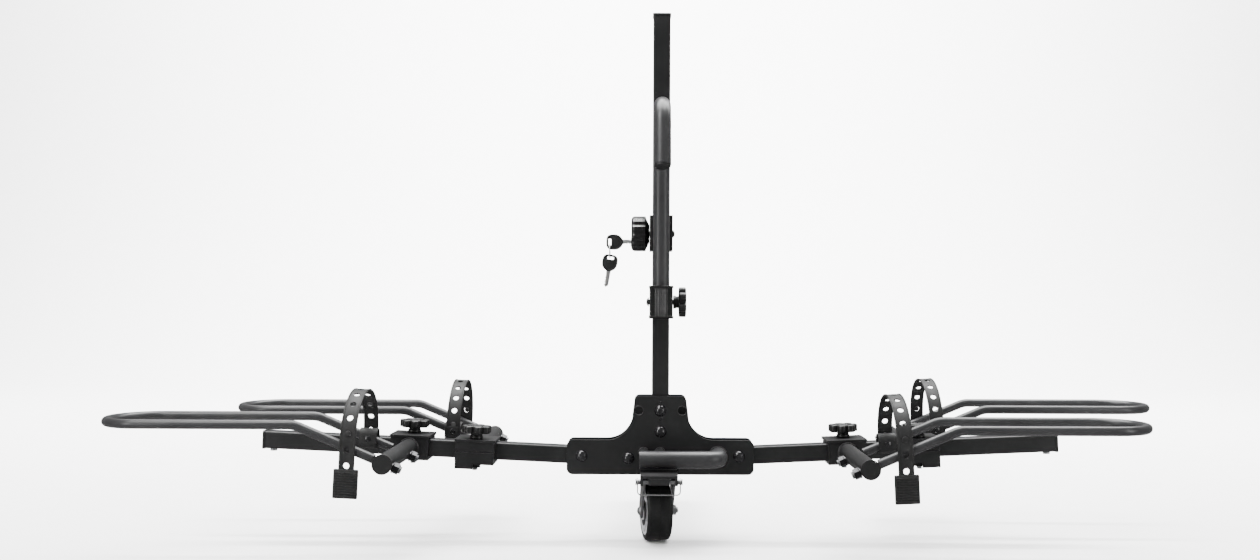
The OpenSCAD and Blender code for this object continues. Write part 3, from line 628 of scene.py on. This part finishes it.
def cut_plate(outlines, thickness, edge):
    """Flat plate in the x, y plane from an outline and its holes, with rounded edges."""
    curve = bpy.data.curves.new("outline", "CURVE")
    curve.dimensions = "2D"
    curve.fill_mode = "BOTH"
    for outline in outlines:
        spline = curve.splines.new("POLY")
        spline.points.add(len(outline) - 1)
        for node, (x, y) in zip(spline.points, outline):
            node.co = (x, y, 0, 1)
        spline.use_cyclic_u = True
    curve.extrude = thickness / 2 - edge
    curve.bevel_depth = edge
    curve.bevel_resolution = 2
    curve.offset = -edge
    shape = bmesh.new()
    shape.from_mesh(plain_copy(new_object(curve)))
    bmesh.ops.remove_doubles(shape, verts=shape.verts, dist=SAME_SPOT)
    bmesh.ops.recalc_face_normals(shape, faces=shape.faces)
    return smooth_mesh(shape, "plate", 0.7)


def round_outline(half_x, half_y, radius, steps=6):
    points = []
    for quarter, (sx, sy) in enumerate(((1, 1), (-1, 1), (-1, -1), (1, -1))):
        for i in range(steps + 1):
            a = math.radians(90 * (quarter + i / steps))
            points.append((sx * (half_x - radius) + radius * math.cos(a),
                           sy * (half_y - radius) + radius * math.sin(a)))
    return points


# ---------- Sizes and places, from the frame ----------

ROW_Y = sum(c.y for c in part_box("mast")) / 2
ROW_Z = -3.5 * MM
ARM_RISE = math.radians(2.6)
MIRROR_X = Matrix.Scale(-1, 4, (1, 0, 0))
MIRROR_Y = Matrix.Scale(-1, 4, (0, 1, 0))

# The plates' outer faces and the fittings on the mast, from the mast's axis.
PLATE_FACE = -16.7 * MM
PLATE_BACK = 16.7 * MM
MAST_BOLT_Z = (41.4 * MM, 72.4 * MM)
HOOK_R = 12 * MM
HOOK_Y = 35 * MM
HOOK_BOLT_Y = 17.9 * MM
CLAMP_TALL = 47.8 * MM
CLAMP_HALF = 17.75 * MM
BRACKET_TALL = 51.5 * MM
BRACKET_HALF = 17 * MM
LOCK_DROP = 12.5 * MM


def move(x=0.0, y=0.0, z=0.0):
    return Matrix.Translation((x, y, z))


def spin(degrees, axis):
    return Matrix.Rotation(math.radians(degrees), 4, axis)


RACK = move(y=ROW_Y, z=ROW_Z)


def on_arm(name):
    """Local frame of a hoop carriage: x out along the arm, y towards its carrier tube."""
    low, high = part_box(name + "_cap")
    reach = abs(low.x + high.x) / 2 / math.cos(ARM_RISE)
    place = RACK
    if name.endswith("left"):
        place = place @ MIRROR_X
    if name.startswith("near"):
        place = place @ MIRROR_Y
    return place @ Matrix.Rotation(-ARM_RISE, 4, "Y") @ move(x=reach / math.cos(ARM_RISE))


def on_mast(block_node, row):
    """Local frame of a hook's block: y away from the mast, z up from the block's middle."""
    low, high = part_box(block_node)
    place = RACK @ move(z=(low.z + high.z) / 2 - ROW_Z)
    return place @ MIRROR_Y if row < 0 else place


CARRIAGES = ("near_left", "near_right", "far_left", "far_right")

# A hoop carriage, in its own frame.
ROD_R = 6.5 * MM
LEG_IN, LEG_OUT = 67 * MM, 181 * MM
HOOP_W = LEG_OUT - LEG_IN
HOOP_Y = (LEG_IN + LEG_OUT) / 2
HOOP_SLOPE = math.radians(22.9)
HOOP_TILT = HOOP_SLOPE - ARM_RISE
HOOP_RISE = 131 * MM
HOOP_REACH = 397 * MM
ROD_BEND = 40 * MM
CARRIER_R = 12.7 * MM
STUD_Y = -18.5 * MM
CLAMP_TOP = 18.3 * MM
CLAMP_LOW = -18 * MM
CLAMP_FACE = 18 * MM
THREAD_END = 24 * MM
KNOB_GAP = 0.3 * MM
STRAP_X = 47.5 * MM
STRAP_W = 21 * MM
ARCH_Z = 26 * MM
ARCH_R = 65.5 * MM
STRAP_LOW = STRAP_X * math.tan(HOOP_TILT)
BUCKLE_TOP = -9 * MM
WEB_END = BUCKLE_TOP - 6 * MM


def hoop_path():
    """The hoop's bent rod, from its inner shoulder round the tip to its outer shoulder."""
    rise = Vector((math.cos(HOOP_TILT), 0, math.sin(HOOP_TILT)))
    down = Vector((math.sin(HOOP_TILT), 0, -math.cos(HOOP_TILT)))
    level = Vector((math.cos(ARM_RISE), 0, -math.sin(ARM_RISE)))
    start = Vector((0, LEG_IN, 0))
    cut = ROD_BEND * math.tan(HOOP_SLOPE / 2)
    flat = HOOP_REACH - HOOP_RISE * math.cos(HOOP_SLOPE) - HOOP_W / 2 - ROD_R - cut
    bend = start + (HOOP_RISE - cut) * rise + ROD_BEND * down
    shoulder = CARRIER_R + 1.9 * MM
    leg = [start + shoulder * rise, *arc(bend, -down, rise, ROD_BEND, HOOP_SLOPE, 12)]
    leg.append(start + HOOP_RISE * rise + (cut + flat) * level)
    tip = arc(leg[-1] + Vector((0, HOOP_W / 2, 0)), (0, -1, 0), level, HOOP_W / 2, math.pi, 48)
    return leg + tip[1:-1] + [p + Vector((0, HOOP_W, 0)) for p in reversed(leg)]


def hook_path(block_h):
    """Shank, half-round bend and flared tip of a J-hook."""
    radius, bend_z, tip = 40 * MM, 240 * MM, 62 * MM
    flare = math.radians(14)
    start = Vector((0, HOOK_Y, -block_h / 2))
    bend = arc((0, start.y + radius, bend_z), (0, -1, 0), (0, 0, 1), radius, math.pi - flare, 40)
    return [start, *bend, bend[-1] + tip * Vector((0, math.sin(flare), -math.cos(flare)))]


def strap_path():
    """Middle of the strap: up from the inner leg, over the wheel and down to the buckle."""
    arch = arc((0, HOOP_Y, ARCH_Z), (0, -1, 0), (0, 0, 1), ARCH_R, math.pi, 72)
    return [Vector((0, HOOP_Y - ARCH_R, STRAP_LOW)), *arch, Vector((0, HOOP_Y + ARCH_R, WEB_END))]


# ---------- Bent tubes ----------

def bent_rod(name, node, path, radius, place):
    mesh = grow(ROD, TUBE_COAT, Path=path_object(path), Radius=radius, Sides=40)
    body = body_of(frame["nodes"][node])[0]
    add_piece(name, mesh, TUBE_COAT, body, place, node)


for name in CARRIAGES:
    bent_rod(name + "_wheel_hoop", name + "_hoop", hoop_path(), ROD_R, on_arm(name))
bent_rod("near_hook_tube", "near_hook", hook_path(CLAMP_TALL), HOOK_R,
         on_mast("near_hook_clamp", -1))
bent_rod("far_hook_tube", "far_hook", hook_path(BRACKET_TALL), HOOK_R,
         on_mast("far_hook_bracket", 1))


# ---------- Threads and welds ----------

def weld(name, paths, radius, body, place, seed):
    beads = [grow(BEAD, WELD, Path=path_object(path), Radius=radius, Seed=seed + i)
             for i, path in enumerate(paths)]
    add_piece(name, joined(beads, name), WELD, body, place)


def hoop_threads(name):
    """The hoop's two threaded ends, inboard of the carrier tube."""
    lean = spin(-90 - math.degrees(HOOP_TILT), "Y")
    bore, start = 9 * MM, 9.6 * MM
    ends = []
    for y in (LEG_IN, LEG_OUT):
        screw = grow(THREAD, ZINC, Radius=5.3 * MM, Pitch=1.5 * MM, Length=THREAD_END - bore)
        ends.append(moved(screw, move(z=start), lean, move(y=y)))
    add_piece(name + "_hoop_threads", joined(ends, name), ZINC, name + "_carriage",
              on_arm(name))


def carrier_weld(name):
    """Bead round the carrier tube's foot, where the clamp has a face behind it."""
    foot = arc((0, CLAMP_FACE + 0.5 * MM, 0), (1, 0, 0), (0, 0, 1), CARRIER_R + 0.6 * MM,
               2 * math.pi, 48)
    weld(name + "_carrier_weld", [foot], 1.7 * MM, name + "_carriage", on_arm(name), 10)


for name in CARRIAGES:
    hoop_threads(name)
    carrier_weld(name)


def frame_welds():
    """Beads where the tongue, the handle and the caster bracket meet the plates."""
    half, highest, back = 26 * MM, 25.6 * MM, PLATE_BACK + 0.5 * MM
    square = [Vector((half * x, back, min(half * z, highest) - ROW_Z)) for x, z in
              ((0.8, 1), (1, 0.8), (1, -0.8), (0.8, -1), (-0.8, -1), (-1, -0.8), (-1, 0.8),
               (-0.8, 1), (0.8, 1))]
    weld("tongue_weld", [square], 2.4 * MM, "frame", RACK, 40)
    face, shelf_z = PLATE_FACE - 0.3 * MM, -9.6 * MM
    foot = arc((85.3 * MM, face, 6 * MM), (1, 0, 0), (0, 0, 1), 13.1 * MM, 2 * math.pi, 48)
    posts = [arc((x * MM, face, 11 * MM), (1, 0, 0), (0, 0, 1), 6.5 * MM, 2 * math.pi, 24)
             for x in (-24.5, -0.5)]
    shelf = [Vector((-28 * MM, face, shelf_z)), Vector((22.6 * MM, face, shelf_z))]
    weld("handle_welds", [foot, *posts], 1.6 * MM, "frame", RACK, 60)
    weld("bracket_weld", [shelf], 1.8 * MM, "frame", RACK, 80)


frame_welds()


# ---------- Knobs ----------

BLEND = 14


def lobed(angle, count, centre, lobe, core):
    """Radius of a knob with round lobes, blended softly into its core."""
    step = 2 * math.pi / count
    off = (angle + step / 2) % step - step / 2
    across = centre * math.sin(off)
    reach = centre * math.cos(off) + math.sqrt(max(lobe * lobe - across * across, 0))
    if abs(across) >= lobe:
        reach = 0
    return (reach ** BLEND + core ** BLEND) ** (1 / BLEND) if reach else core


def rolled(outline, rings, sides):
    """Knob body: each ring is (inset, z, roundness), from lobed at 0 to a circle at 1."""
    shape = bmesh.new()
    mean = sum(outline) / sides
    loops = []
    for inset, z, roundness in rings:
        loop = []
        for reach, (c, s) in zip(outline, round_turn(sides)):
            radius = (reach * (1 - roundness) + mean * roundness) - inset
            loop.append(shape.verts.new((radius * c, radius * s, z)))
        loops.append(loop)
    bridge(shape, *loops)
    shape.faces.new(list(reversed(loops[0])))
    shape.faces.new(loops[-1])
    bmesh.ops.recalc_face_normals(shape, faces=shape.faces)
    return smooth_mesh(shape, "knob", 0.8)


def star_body(lobes):
    """Moulded star knob with a rounded rim, a dished top and a raised insert cap."""
    sides, low, top, low_r, top_r = lobes * 24, 8 * MM, 19 * MM, 2 * MM, 2.4 * MM
    outline = [lobed(2 * math.pi * i / sides, lobes, centre=15.6 * MM, lobe=6.4 * MM,
                     core=15.5 * MM) for i in range(sides)]
    rings = [(11 * MM, low, 1), (3 * MM, low, 0.3)]
    rings += [(low_r * (1 - s), low + low_r * (1 - c), 0) for c, s in quarter_turn(5)]
    rings += [(top_r * (1 - c), top - top_r * (1 - s), 0) for c, s in quarter_turn(5)]
    rings += [(5 * MM, top - 0.1 * MM, 0.5), (7 * MM, top - 0.3 * MM, 1),
              (7.8 * MM, top - 1.2 * MM, 1), (10.5 * MM, top - 1.2 * MM, 1),
              (11 * MM, top - 0.2 * MM, 1), (11.6 * MM, top, 1), (16 * MM, top + 0.2 * MM, 1)]
    stem = turned([(0, 0), (9 * MM, 0), (9.7 * MM, 0.7 * MM), (9.7 * MM, 3 * MM),
                   (8.6 * MM, 5 * MM), (9.2 * MM, low + 1 * MM), (0, low + 1 * MM)], 48)
    return [rolled(outline, rings, sides), stem]


def carriage_knob(name):
    place = on_arm(name) @ move(y=STUD_Y, z=CLAMP_TOP + KNOB_GAP)
    body = name + "_clamp_screw"
    add_piece(name + "_star_knob", joined(star_body(7), name), PLASTIC, body,
              place, name + "_knob")
    below = 10 * MM
    reach = CLAMP_TOP - CLAMP_LOW + below
    stud = grow(THREAD, ZINC, Radius=4 * MM, Pitch=1.25 * MM, Length=reach)
    add_piece(name + "_stud", stud, ZINC, body, place @ move(z=-reach))


for name in CARRIAGES:
    carriage_knob(name)


def hook_knob():
    place = on_mast("near_hook_clamp", -1) @ move(x=CLAMP_HALF + KNOB_GAP, y=HOOK_BOLT_Y)
    add_piece("near_hook_star_knob", joined(star_body(6), "hook_knob"), PLASTIC,
              "near_hook_screw", place @ spin(90, "Y"), "near_hook_knob")


def lock_handwheel():
    """Fluted locking knob on a bevelled neck, with a dished face round its lock."""
    sides, flutes, reach, wide = 24 * 12, 12, 26.5 * MM, 27.3 * MM
    deep, spread, low_r, top_r = 1.9 * MM, 0.35, 2 * MM, 5.2 * MM
    waves = [math.cos(flutes * 2 * math.pi * i / sides) for i in range(sides)]
    outline = [reach - deep * max(0, wave + spread) / (1 + spread) for wave in waves]
    rings = [(12.5 * MM, 0.3 * MM, 1), (4.5 * MM, 4.4 * MM, 1), (2.6 * MM, 5.2 * MM, 0.5)]
    rings += [(low_r * (1 - s), 7.4 * MM - low_r * c, 0) for c, s in quarter_turn(5)]
    rings += [(top_r * (1 - c), wide - top_r * (1 - s), i / 24)
              for i, (c, s) in enumerate(quarter_turn(8))]
    rings += [(6.2 * MM, wide - 0.1 * MM, 1), (7 * MM, wide - 0.8 * MM, 1),
              (24 * MM, wide - 0.8 * MM, 1)]
    place = on_mast("far_hook_bracket", 1) @ move(x=-BRACKET_HALF, y=HOOK_BOLT_Y) @ spin(-90, "Y")
    add_piece("lock_handwheel_body", rolled(outline, rings, sides), GLOSS, "lock_handwheel",
              place, "lock_knob")
    bezel = turned([(6.9 * MM, 0), (8.4 * MM, 0), (8.4 * MM, 0.9 * MM), (8 * MM, 1.3 * MM),
                    (6.9 * MM, 1.3 * MM)], 48, True)
    add_piece("lock_bezel", bezel, ZINC, "lock_handwheel",
              place @ move(x=-LOCK_DROP, z=wide - 0.9 * MM))


def hook_clamp():
    """Moulded near clamp: a ridged front panel between two flared lips, bored for both tubes."""
    back, front, lip_t = -17 * MM, 51.5 * MM, 4 * MM
    bore, bore_r, corner_r = 13 * MM, HOOK_R + 0.1 * MM, 2 * MM
    square_bore = [(x * bore, y * bore) for x, y in ((1, 1), (1, -1), (-1, -1), (-1, 1))]
    shank_bore = [(bore_r * s, HOOK_Y + bore_r * c) for c, s in round_turn(48)]
    middle, half_l = (front + back) / 2, (front - back) / 2
    rim = [(x, y + middle) for x, y in round_outline(CLAMP_HALF, half_l, 3 * MM)]
    flat_y, ridge_pitch, panel = front - 2.4 * MM, 4.9 * MM, 9.2 * MM
    slim = CLAMP_HALF - 0.9 * MM
    steps, foot, crest, margin = 44, 0.7 * MM, 1.2 * MM, 0.4 * MM
    across = [panel * (1 - 2 * i / steps) for i in range(steps + 1)]
    ridges = [(x, flat_y + foot + crest * abs(math.cos(math.pi * (x / ridge_pitch - 0.5))))
              for x in across]
    corner = [(slim - corner_r + corner_r * c, flat_y - corner_r + corner_r * s)
              for c, s in quarter_turn(5)]
    body = [(-slim, back), (slim, back), *corner, (panel + margin, flat_y), *ridges,
            (-panel - margin, flat_y), *[(-x, y) for x, y in reversed(corner)]]
    parts = [cut_plate([body, square_bore, shank_bore], CLAMP_TALL - lip_t, 0.4 * MM)]
    for z in (-1, 1):
        lip = cut_plate([rim, square_bore, shank_bore], lip_t, 1.1 * MM)
        parts.append(moved(lip, move(z=z * (CLAMP_TALL - lip_t) / 2)))
    node = "near_hook_clamp"
    add_piece(node + "_body", joined(parts, node), GLOSS, "near_hook_slider",
              on_mast(node, -1), node)


hook_knob()
lock_handwheel()
hook_clamp()


# ---------- Keys ----------

SLOT_Y = 7.3 * MM
CUTS = (2.4 * MM, 1.6 * MM, 2.2 * MM, 1.4 * MM)
CUT_ROOM = 6 * MM


def key_blade(length):
    """Blade along +y from the bow, with cuts in one edge."""
    root, half, pitch = 9 * MM, 3.7 * MM, 3.4 * MM
    points = [(-half, root), (-half, root + length), (0, root + length + 3 * MM)]
    y = root + length - 1 * MM
    for deep in CUTS[:int(length / CUT_ROOM)]:
        points += [(half - 0.2 * MM, y), (half - deep, y - 1.4 * MM), (half - deep, y - 2 * MM)]
        y -= pitch
    points.append((half, root))
    return cut_plate([points], 2.2 * MM, 0.25 * MM)


def bow_outline(inset):
    """Bow that is round towards its blade and squarer round the slot."""
    half_x, half_y = 11.6 * MM - inset, 12.6 * MM - inset
    points = []
    for c, s in round_turn(48):
        power = 2.0 if s > 0 else 3.2
        points.append((half_x * math.copysign(abs(c) ** (2 / power), c),
                       half_y * math.copysign(abs(s) ** (2 / power), s)))
    return points


def make_key(name, body, place, blade_l):
    """Key with a moulded bow, a raised border on both faces and a slot for its ring."""
    bow = bow_outline(0)
    slot = [(x, y - SLOT_Y) for x, y in reversed(round_outline(5 * MM, 2.2 * MM, 1.5 * MM))]
    head = cut_plate([bow, slot], 4.2 * MM, 0.9 * MM)
    border = cut_plate([bow, bow_outline(2 * MM)], 5 * MM, 0.6 * MM)
    bow = joined([head, border], name)
    add_piece(name + "_bow", bow, CAP, body, place, name)
    add_piece(name + "_blade", key_blade(blade_l), WIRE, body, place)


def make_keys():
    """A key in the lock, and a spare one that hangs on the split ring through its slot."""
    lock, flat = on_mast("far_hook_bracket", 1) @ move(y=HOOK_BOLT_Y), spin(90, "X")
    key_x, ring_r, eye, hang = -69.5 * MM, 10 * MM, 3.4 * MM, 7.9 * MM
    ring_x, ring_z = key_x - SLOT_Y, -LOCK_DROP - eye - ring_r
    make_key("lock_key", "lock_barrel",
             lock @ move(x=key_x, z=-LOCK_DROP) @ spin(90, "Y") @ flat, 14 * MM)
    make_key("spare_key", "hanging_key",
             lock @ move(x=ring_x, z=ring_z - ring_r - hang) @ spin(190, "Y") @ flat, 25 * MM)
    gap, steps = 0.49 * MM, 48
    coil = [Vector((gap * (i / steps - 1), ring_r * c, ring_r * s))
            for i, (c, s) in enumerate(round_turn(steps) * 2 + [(1, 0)])]
    mesh = grow(ROD, WIRE, Path=path_object(coil), Radius=0.5 * MM, Sides=10)
    add_piece("split_ring", mesh, WIRE, "hanging_key", lock @ move(x=ring_x, z=ring_z),
              "key_ring")


make_keys()


# ---------- Rubber straps ----------

HOLE_PITCH = 21.5 * MM
HOLE_R = 4.15 * MM


def strap_link():
    """One pitch of the punched web, with its hole, subdivided so that it bends smoothly."""
    half_l, half_w, half_t = HOLE_PITCH / 2, STRAP_W / 2 - 1 * MM, 1.0 * MM
    spokes, steps, near = round_turn(32, 0.5), 4, 0.12
    edge = []
    for c, s in spokes:
        reach = min(half_l / abs(c), half_w / abs(s))
        x, y = reach * c, reach * s
        if half_l - abs(x) < near * half_l and half_w - abs(y) < near * half_w:
            x, y = math.copysign(half_l, x), math.copysign(half_w, y)
        edge.append((x, y))
    shape = bmesh.new()
    layers = []
    for level in (-half_t, half_t):
        loops = []
        for step in range(steps + 1):
            part = step / steps
            spots = [(HOLE_R * c + (x - HOLE_R * c) * part, HOLE_R * s + (y - HOLE_R * s) * part)
                     for (c, s), (x, y) in zip(spokes, edge)]
            loops.append([shape.verts.new((x + half_l, y, level)) for x, y in spots])
        layers.append(loops)
    for loops in layers:
        bridge(shape, *loops)
    bridge(shape, layers[0][0], layers[1][0])
    bmesh.ops.recalc_face_normals(shape, faces=shape.faces)
    return plain_mesh(shape, "strap_link")


def swept_bar(path, half_w, half_t, x):
    """Rounded bar that follows a path in the y, z plane, with its width along x."""
    roundness = 0.7
    section = round_outline(half_w, half_t, min(half_w, half_t) * roundness, 3)
    shape = bmesh.new()
    loops = []
    last = len(path) - 1
    for i, point in enumerate(path):
        tangent = (path[min(i + 1, last)] - path[max(i - 1, 0)]).normalized()
        up = Vector((1, 0, 0)).cross(tangent)
        loops.append([shape.verts.new(Vector((x + a, point.y, point.z)) + up * b)
                      for a, b in section])
    bridge(shape, *loops)
    shape.faces.new(loops[0])
    shape.faces.new(loops[-1])
    bmesh.ops.recalc_face_normals(shape, faces=shape.faces)
    return smooth_mesh(shape, "bar", 0.9)


def leg_loop():
    """Thick rubber loop round the hoop's inner leg."""
    radius, rise = 8.6 * MM, 4.6 * MM
    centre = Vector((0, LEG_IN, STRAP_LOW))
    up = arc(centre + Vector((0, 0, rise)), (0, 1, 0), (0, 0, 1), radius, math.pi, 16)
    down = arc(centre - Vector((0, 0, rise)), (0, -1, 0), (0, 0, -1), radius, math.pi, 16)
    return [*up, *down, up[0]]


def make_strap(name):
    """Strap with its punched web, raised rims, leg loop, rivets, button and ribbed tail."""
    rim_w, rib_pitch, rivet_y = 1.3 * MM, 3.4 * MM, 9.8 * MM
    path = strap_path()
    length = sum((b - a).length for a, b in zip(path, path[1:]))
    count = math.ceil(length / HOLE_PITCH)
    pitch = length / count
    link = strap_link()
    link.transform(Matrix.Scale(pitch / HOLE_PITCH, 4, (1, 0, 0)))
    web = grow(BAND, RUBBER, Path=path_object(path), Source=new_object(link), Count=count,
               Pitch=pitch)
    rims = [swept_bar(path, rim_w, 1.5 * MM, side * (STRAP_W / 2 - rim_w)) for side in (-1, 1)]
    loop = swept_bar(leg_loop(), 12.8 * MM, 1.4 * MM, 0)
    outer = HOOP_Y + ARCH_R
    tail_z = BUCKLE_TOP - 19.5 * MM
    tail = moved(block((33 * MM, 4.6 * MM, 39 * MM), 1.6 * MM), move(0, outer + 0.6 * MM, tail_z))
    rib = moved(block((29 * MM, 1.6 * MM, 1.7 * MM), 0.6 * MM, 2),
                move(0, outer + 3.2 * MM, tail_z - 15.5 * MM))
    ribs = grow(ROW, RUBBER, Source=new_object(rib), Count=10, Pitch=rib_pitch)
    button = turned([(0, -2.4 * MM), (3.2 * MM, -2.4 * MM), (3.2 * MM, 0.6 * MM),
                     (3.9 * MM, 1.2 * MM), (3.9 * MM, 2.2 * MM), (2.8 * MM, 2.9 * MM),
                     (0, 3.1 * MM)], 32)
    between_holes = 2.5 * pitch
    button = moved(button, spin(-90, "X"), move(0, outer, WEB_END + between_holes))
    place = on_arm(name) @ move(x=STRAP_X)
    add_piece(name + "_rubber_strap", joined([web, *rims, loop, tail, ribs, button], name),
              RUBBER, name + "_carriage", place, name + "_strap")
    head = turned([(0, 2.2 * MM), (2.4 * MM, 1.9 * MM), (4.2 * MM, 1.0 * MM), (4.6 * MM, 0),
                   (0, 0)], 32)
    rivets = [moved(head.copy(), spin(-90 * side, "X"), move(0, LEG_IN + side * rivet_y, STRAP_LOW))
              for side in (-1, 1)]
    add_piece(name + "_strap_rivets", joined(rivets, name), BOLT, name + "_carriage",
              place)


for name in CARRIAGES:
    make_strap(name)


# ---------- Plate fasteners and caster ----------

def plate_fasteners():
    """Domed coach bolts, the top one with a recess, two punch dots and the holes' rims."""
    dome = [(0, 5.5 * MM), (2.2 * MM, 5.45 * MM), (4.4 * MM, 4.7 * MM), (6.4 * MM, 3.3 * MM),
            (7.9 * MM, 1.7 * MM), (8.6 * MM, 0.5 * MM), (8.75 * MM, 0.2 * MM), (8.75 * MM, 0),
            (0, 0)]
    dot = [(0, 1.1 * MM), (1.2 * MM, 0.8 * MM), (1.7 * MM, 0), (0, 0)]
    shank_r, shank_l, dot_gap = 4 * MM, PLATE_BACK - PLATE_FACE, 13 * MM
    shank = [(0, 0), (shank_r, 0), (shank_r, shank_l), (0, shank_l)]
    spots = [(side * x, x * math.tan(ARM_RISE)) for side in (-1, 1) for x in (47 * MM, 116 * MM)]
    spots += [(0, z) for z in MAST_BOLT_Z]
    top_z = MAST_BOLT_Z[-1]
    heads = [moved(turned(dome, 48), spin(90, "X"), move(x, PLATE_FACE, z)) for x, z in spots]
    shanks = [moved(turned(shank, 24), spin(-90, "X"), move(x, PLATE_FACE, z)) for x, z in spots]
    dots = [moved(turned(dot, 20), spin(90, "X"), move(0, PLATE_FACE, top_z + side * dot_gap))
            for side in (-1, 1)]
    add_piece("coach_bolts", joined([*heads, *shanks, *dots], "coach_bolts"), BOLT, "frame",
              RACK, "plate_bolts")
    rim = turned([(6.3 * MM, -1 * MM), (7.3 * MM, -1 * MM), (7.3 * MM, 0.1 * MM),
                  (7.0 * MM, 0.4 * MM), (6.6 * MM, 0.4 * MM), (6.3 * MM, 0.1 * MM)], 48, True)
    rims = [moved(rim.copy(), spin(90, "X"), move(x, PLATE_FACE, 72.5 * MM))
            for x in (-32 * MM, 32 * MM)]
    add_piece("corner_hole_rims", joined(rims, "rims"), WELD, "frame", RACK)
    socket = turned([(3.9 * MM, 0), (3.9 * MM, 0.9 * MM), (3.5 * MM, 1.2 * MM),
                     (2.9 * MM, 1.0 * MM), (2.6 * MM, -1.2 * MM), (0, -1.2 * MM)], 6)
    add_piece("bolt_recess", socket, BOLT, "frame",
              RACK @ move(0, PLATE_FACE - 4.9 * MM, top_z) @ spin(90, "X"))
    past_nut = PLATE_BACK + 7.6 * MM
    ends = [moved(grow(THREAD, ZINC, Radius=4.05 * MM, Pitch=1.25 * MM, Length=5 * MM),
                  spin(-90, "X"), move(x, past_nut, z)) for x, z in spots]
    add_piece("bolt_threads", joined(ends, "bolt_threads"), ZINC, "frame", RACK)


plate_fasteners()


def caster_details():
    """Rolled race with its balls, thread guards, web ribs and a crowned tyre."""
    low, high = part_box("caster_tyre")
    axle = (low + high) / 2
    rest_turn = 9
    wheel = Matrix.Translation(axle) @ spin(rest_turn, "Z") @ spin(90, "Y")
    outer, half, rim, round_r = 42.5 * MM, 18.3 * MM, 34.5 * MM, 4 * MM
    flank = [(rim, -half + 1 * MM), (rim + 1.5 * MM, -half)]
    flank += [(outer - round_r + round_r * s, -half + round_r - round_r * c)
              for c, s in quarter_turn(8)]
    flank.append((outer, -0.6 * MM))
    profile = [*flank, (outer - 0.3 * MM, 0), *[(r, -z) for r, z in reversed(flank)]]
    add_piece("caster_tread", turned(profile, 128, True), TYRE, "caster_wheel",
              wheel, "caster_tyre")
    guard = [(11 * MM, 0), (21.5 * MM, 0), (21.5 * MM, 0.6 * MM), (19 * MM, 1.1 * MM),
             (14 * MM, 1.3 * MM), (11 * MM, 1.3 * MM)]
    guard_z = 18.35 * MM
    guards = [moved(turned(guard, 64, True), move(z=guard_z)),
              moved(turned(guard, 64, True), spin(180, "X"), move(z=-guard_z))]
    add_piece("thread_guards", joined(guards, "thread_guards"), CAP, "caster_wheel",
              wheel)
    rib = block((17 * MM, 1.6 * MM, 26 * MM), 0.5 * MM, 2)
    ribs = grow(AROUND, HUB, Source=new_object(rib), Count=12, Radius=21.5 * MM)
    add_piece("hub_ribs", ribs, HUB, "caster_wheel", wheel)
    swivel = RACK @ move(x=-2.7 * MM, y=-47 * MM)
    ball_r = 2 * MM
    upper = [(ball_r * c, ball_r * s) for c, s in quarter_turn(5)[:-1]]
    lower = [(r, -z) for r, z in reversed(upper[1:])]
    ball = turned([(0, -ball_r), *lower, *upper, (0, ball_r)], 16)
    balls = grow(AROUND, WIRE, Source=new_object(ball), Count=22, Radius=18.2 * MM)
    add_piece("race_balls", balls, WIRE, "frame", swivel @ move(z=-20.8 * MM))
    lip = turned([(17.5 * MM, 0), (21 * MM, 0), (21.6 * MM, 0.5 * MM), (21.6 * MM, 1.6 * MM),
                  (21 * MM, 2 * MM), (17.5 * MM, 2 * MM)], 72, True)
    add_piece("race_lip", lip, ZINC, "frame", swivel @ move(z=-19.2 * MM))


caster_details()


# ---------- Stage ----------

def stage_set():
    """Floor that sweeps up into a backdrop well behind the rack."""
    low, half_w, front, back, bend = cad_box[0].z - 1 * MM, 9.0, -7.0, 4.5, 2.0
    profile = [Vector((0, front, low)), Vector((0, 0, low))]
    profile += arc((0, back - bend, low + bend), (0, 0, -1), (0, 1, 0), bend, math.pi / 2, 24)
    profile.append(Vector((0, back, 7.0)))
    shape = bmesh.new()
    rows = [[shape.verts.new((x, p.y, p.z)) for x in (-half_w, half_w)] for p in profile]
    for near, far in zip(rows, rows[1:]):
        shape.faces.new((near[0], near[1], far[1], far[0]))
    floor = new_object(smooth_mesh(shape, "floor"), "floor")
    floor.data.materials.append(pale_floor("pale_floor"))
    floor.visible_glossy = False

    world = bpy.data.worlds.new("studio")
    world.use_nodes = True
    sky = world.node_tree.nodes["Background"].inputs
    sky["Color"].default_value = grey(1)
    sky["Strength"].default_value = 0.32
    bpy.context.scene.world = world

    rack = Vector((0, -0.26, 0.25))
    for name, place, aim, size, power in (
            ("key", (-1.6, -1.7, 2.6), rack, (1.2, 1.2), 95),
            ("overhead", (0.0, -0.1, 3.0), rack, (3.0, 1.4), 250),
            ("left_strip", (-1.5, -1.5, 0.35), rack, (0.25, 1.3), 16),
            ("right_strip", (1.5, -1.3, 0.35), rack, (0.2, 1.3), 10),
            ("rim", (1.6, 1.3, 2.2), rack, (1.4, 1.0), 40),
            ("backdrop", (0.0, 1.2, 3.4), Vector((0, 4.2, 1.2)), (5.0, 1.5), 1700)):
        data = bpy.data.lights.new(name, "AREA")
        data.shape = "RECTANGLE"
        data.size, data.size_y = size
        data.energy = power
        lamp = new_object(data, name)
        lamp.location = place
        lamp.rotation_euler = (aim - Vector(place)).to_track_quat("-Z", "Y").to_euler()


def stand_camera():
    """Camera 1.7 m behind the plates, a little above the arms and rolled very slightly."""
    data = bpy.data.cameras.new("camera")
    data.lens = 32.86
    data.sensor_width = 36
    data.shift_x = -0.0127
    data.shift_y = 0.0143
    camera = new_object(data, "camera")
    camera.location = (-0.022, -1.9759, 0.235)
    roll = math.radians(-0.25)
    camera.rotation_euler = (math.radians(90), roll, 0)
    bpy.context.scene.camera = camera


stage_set()
stand_camera()
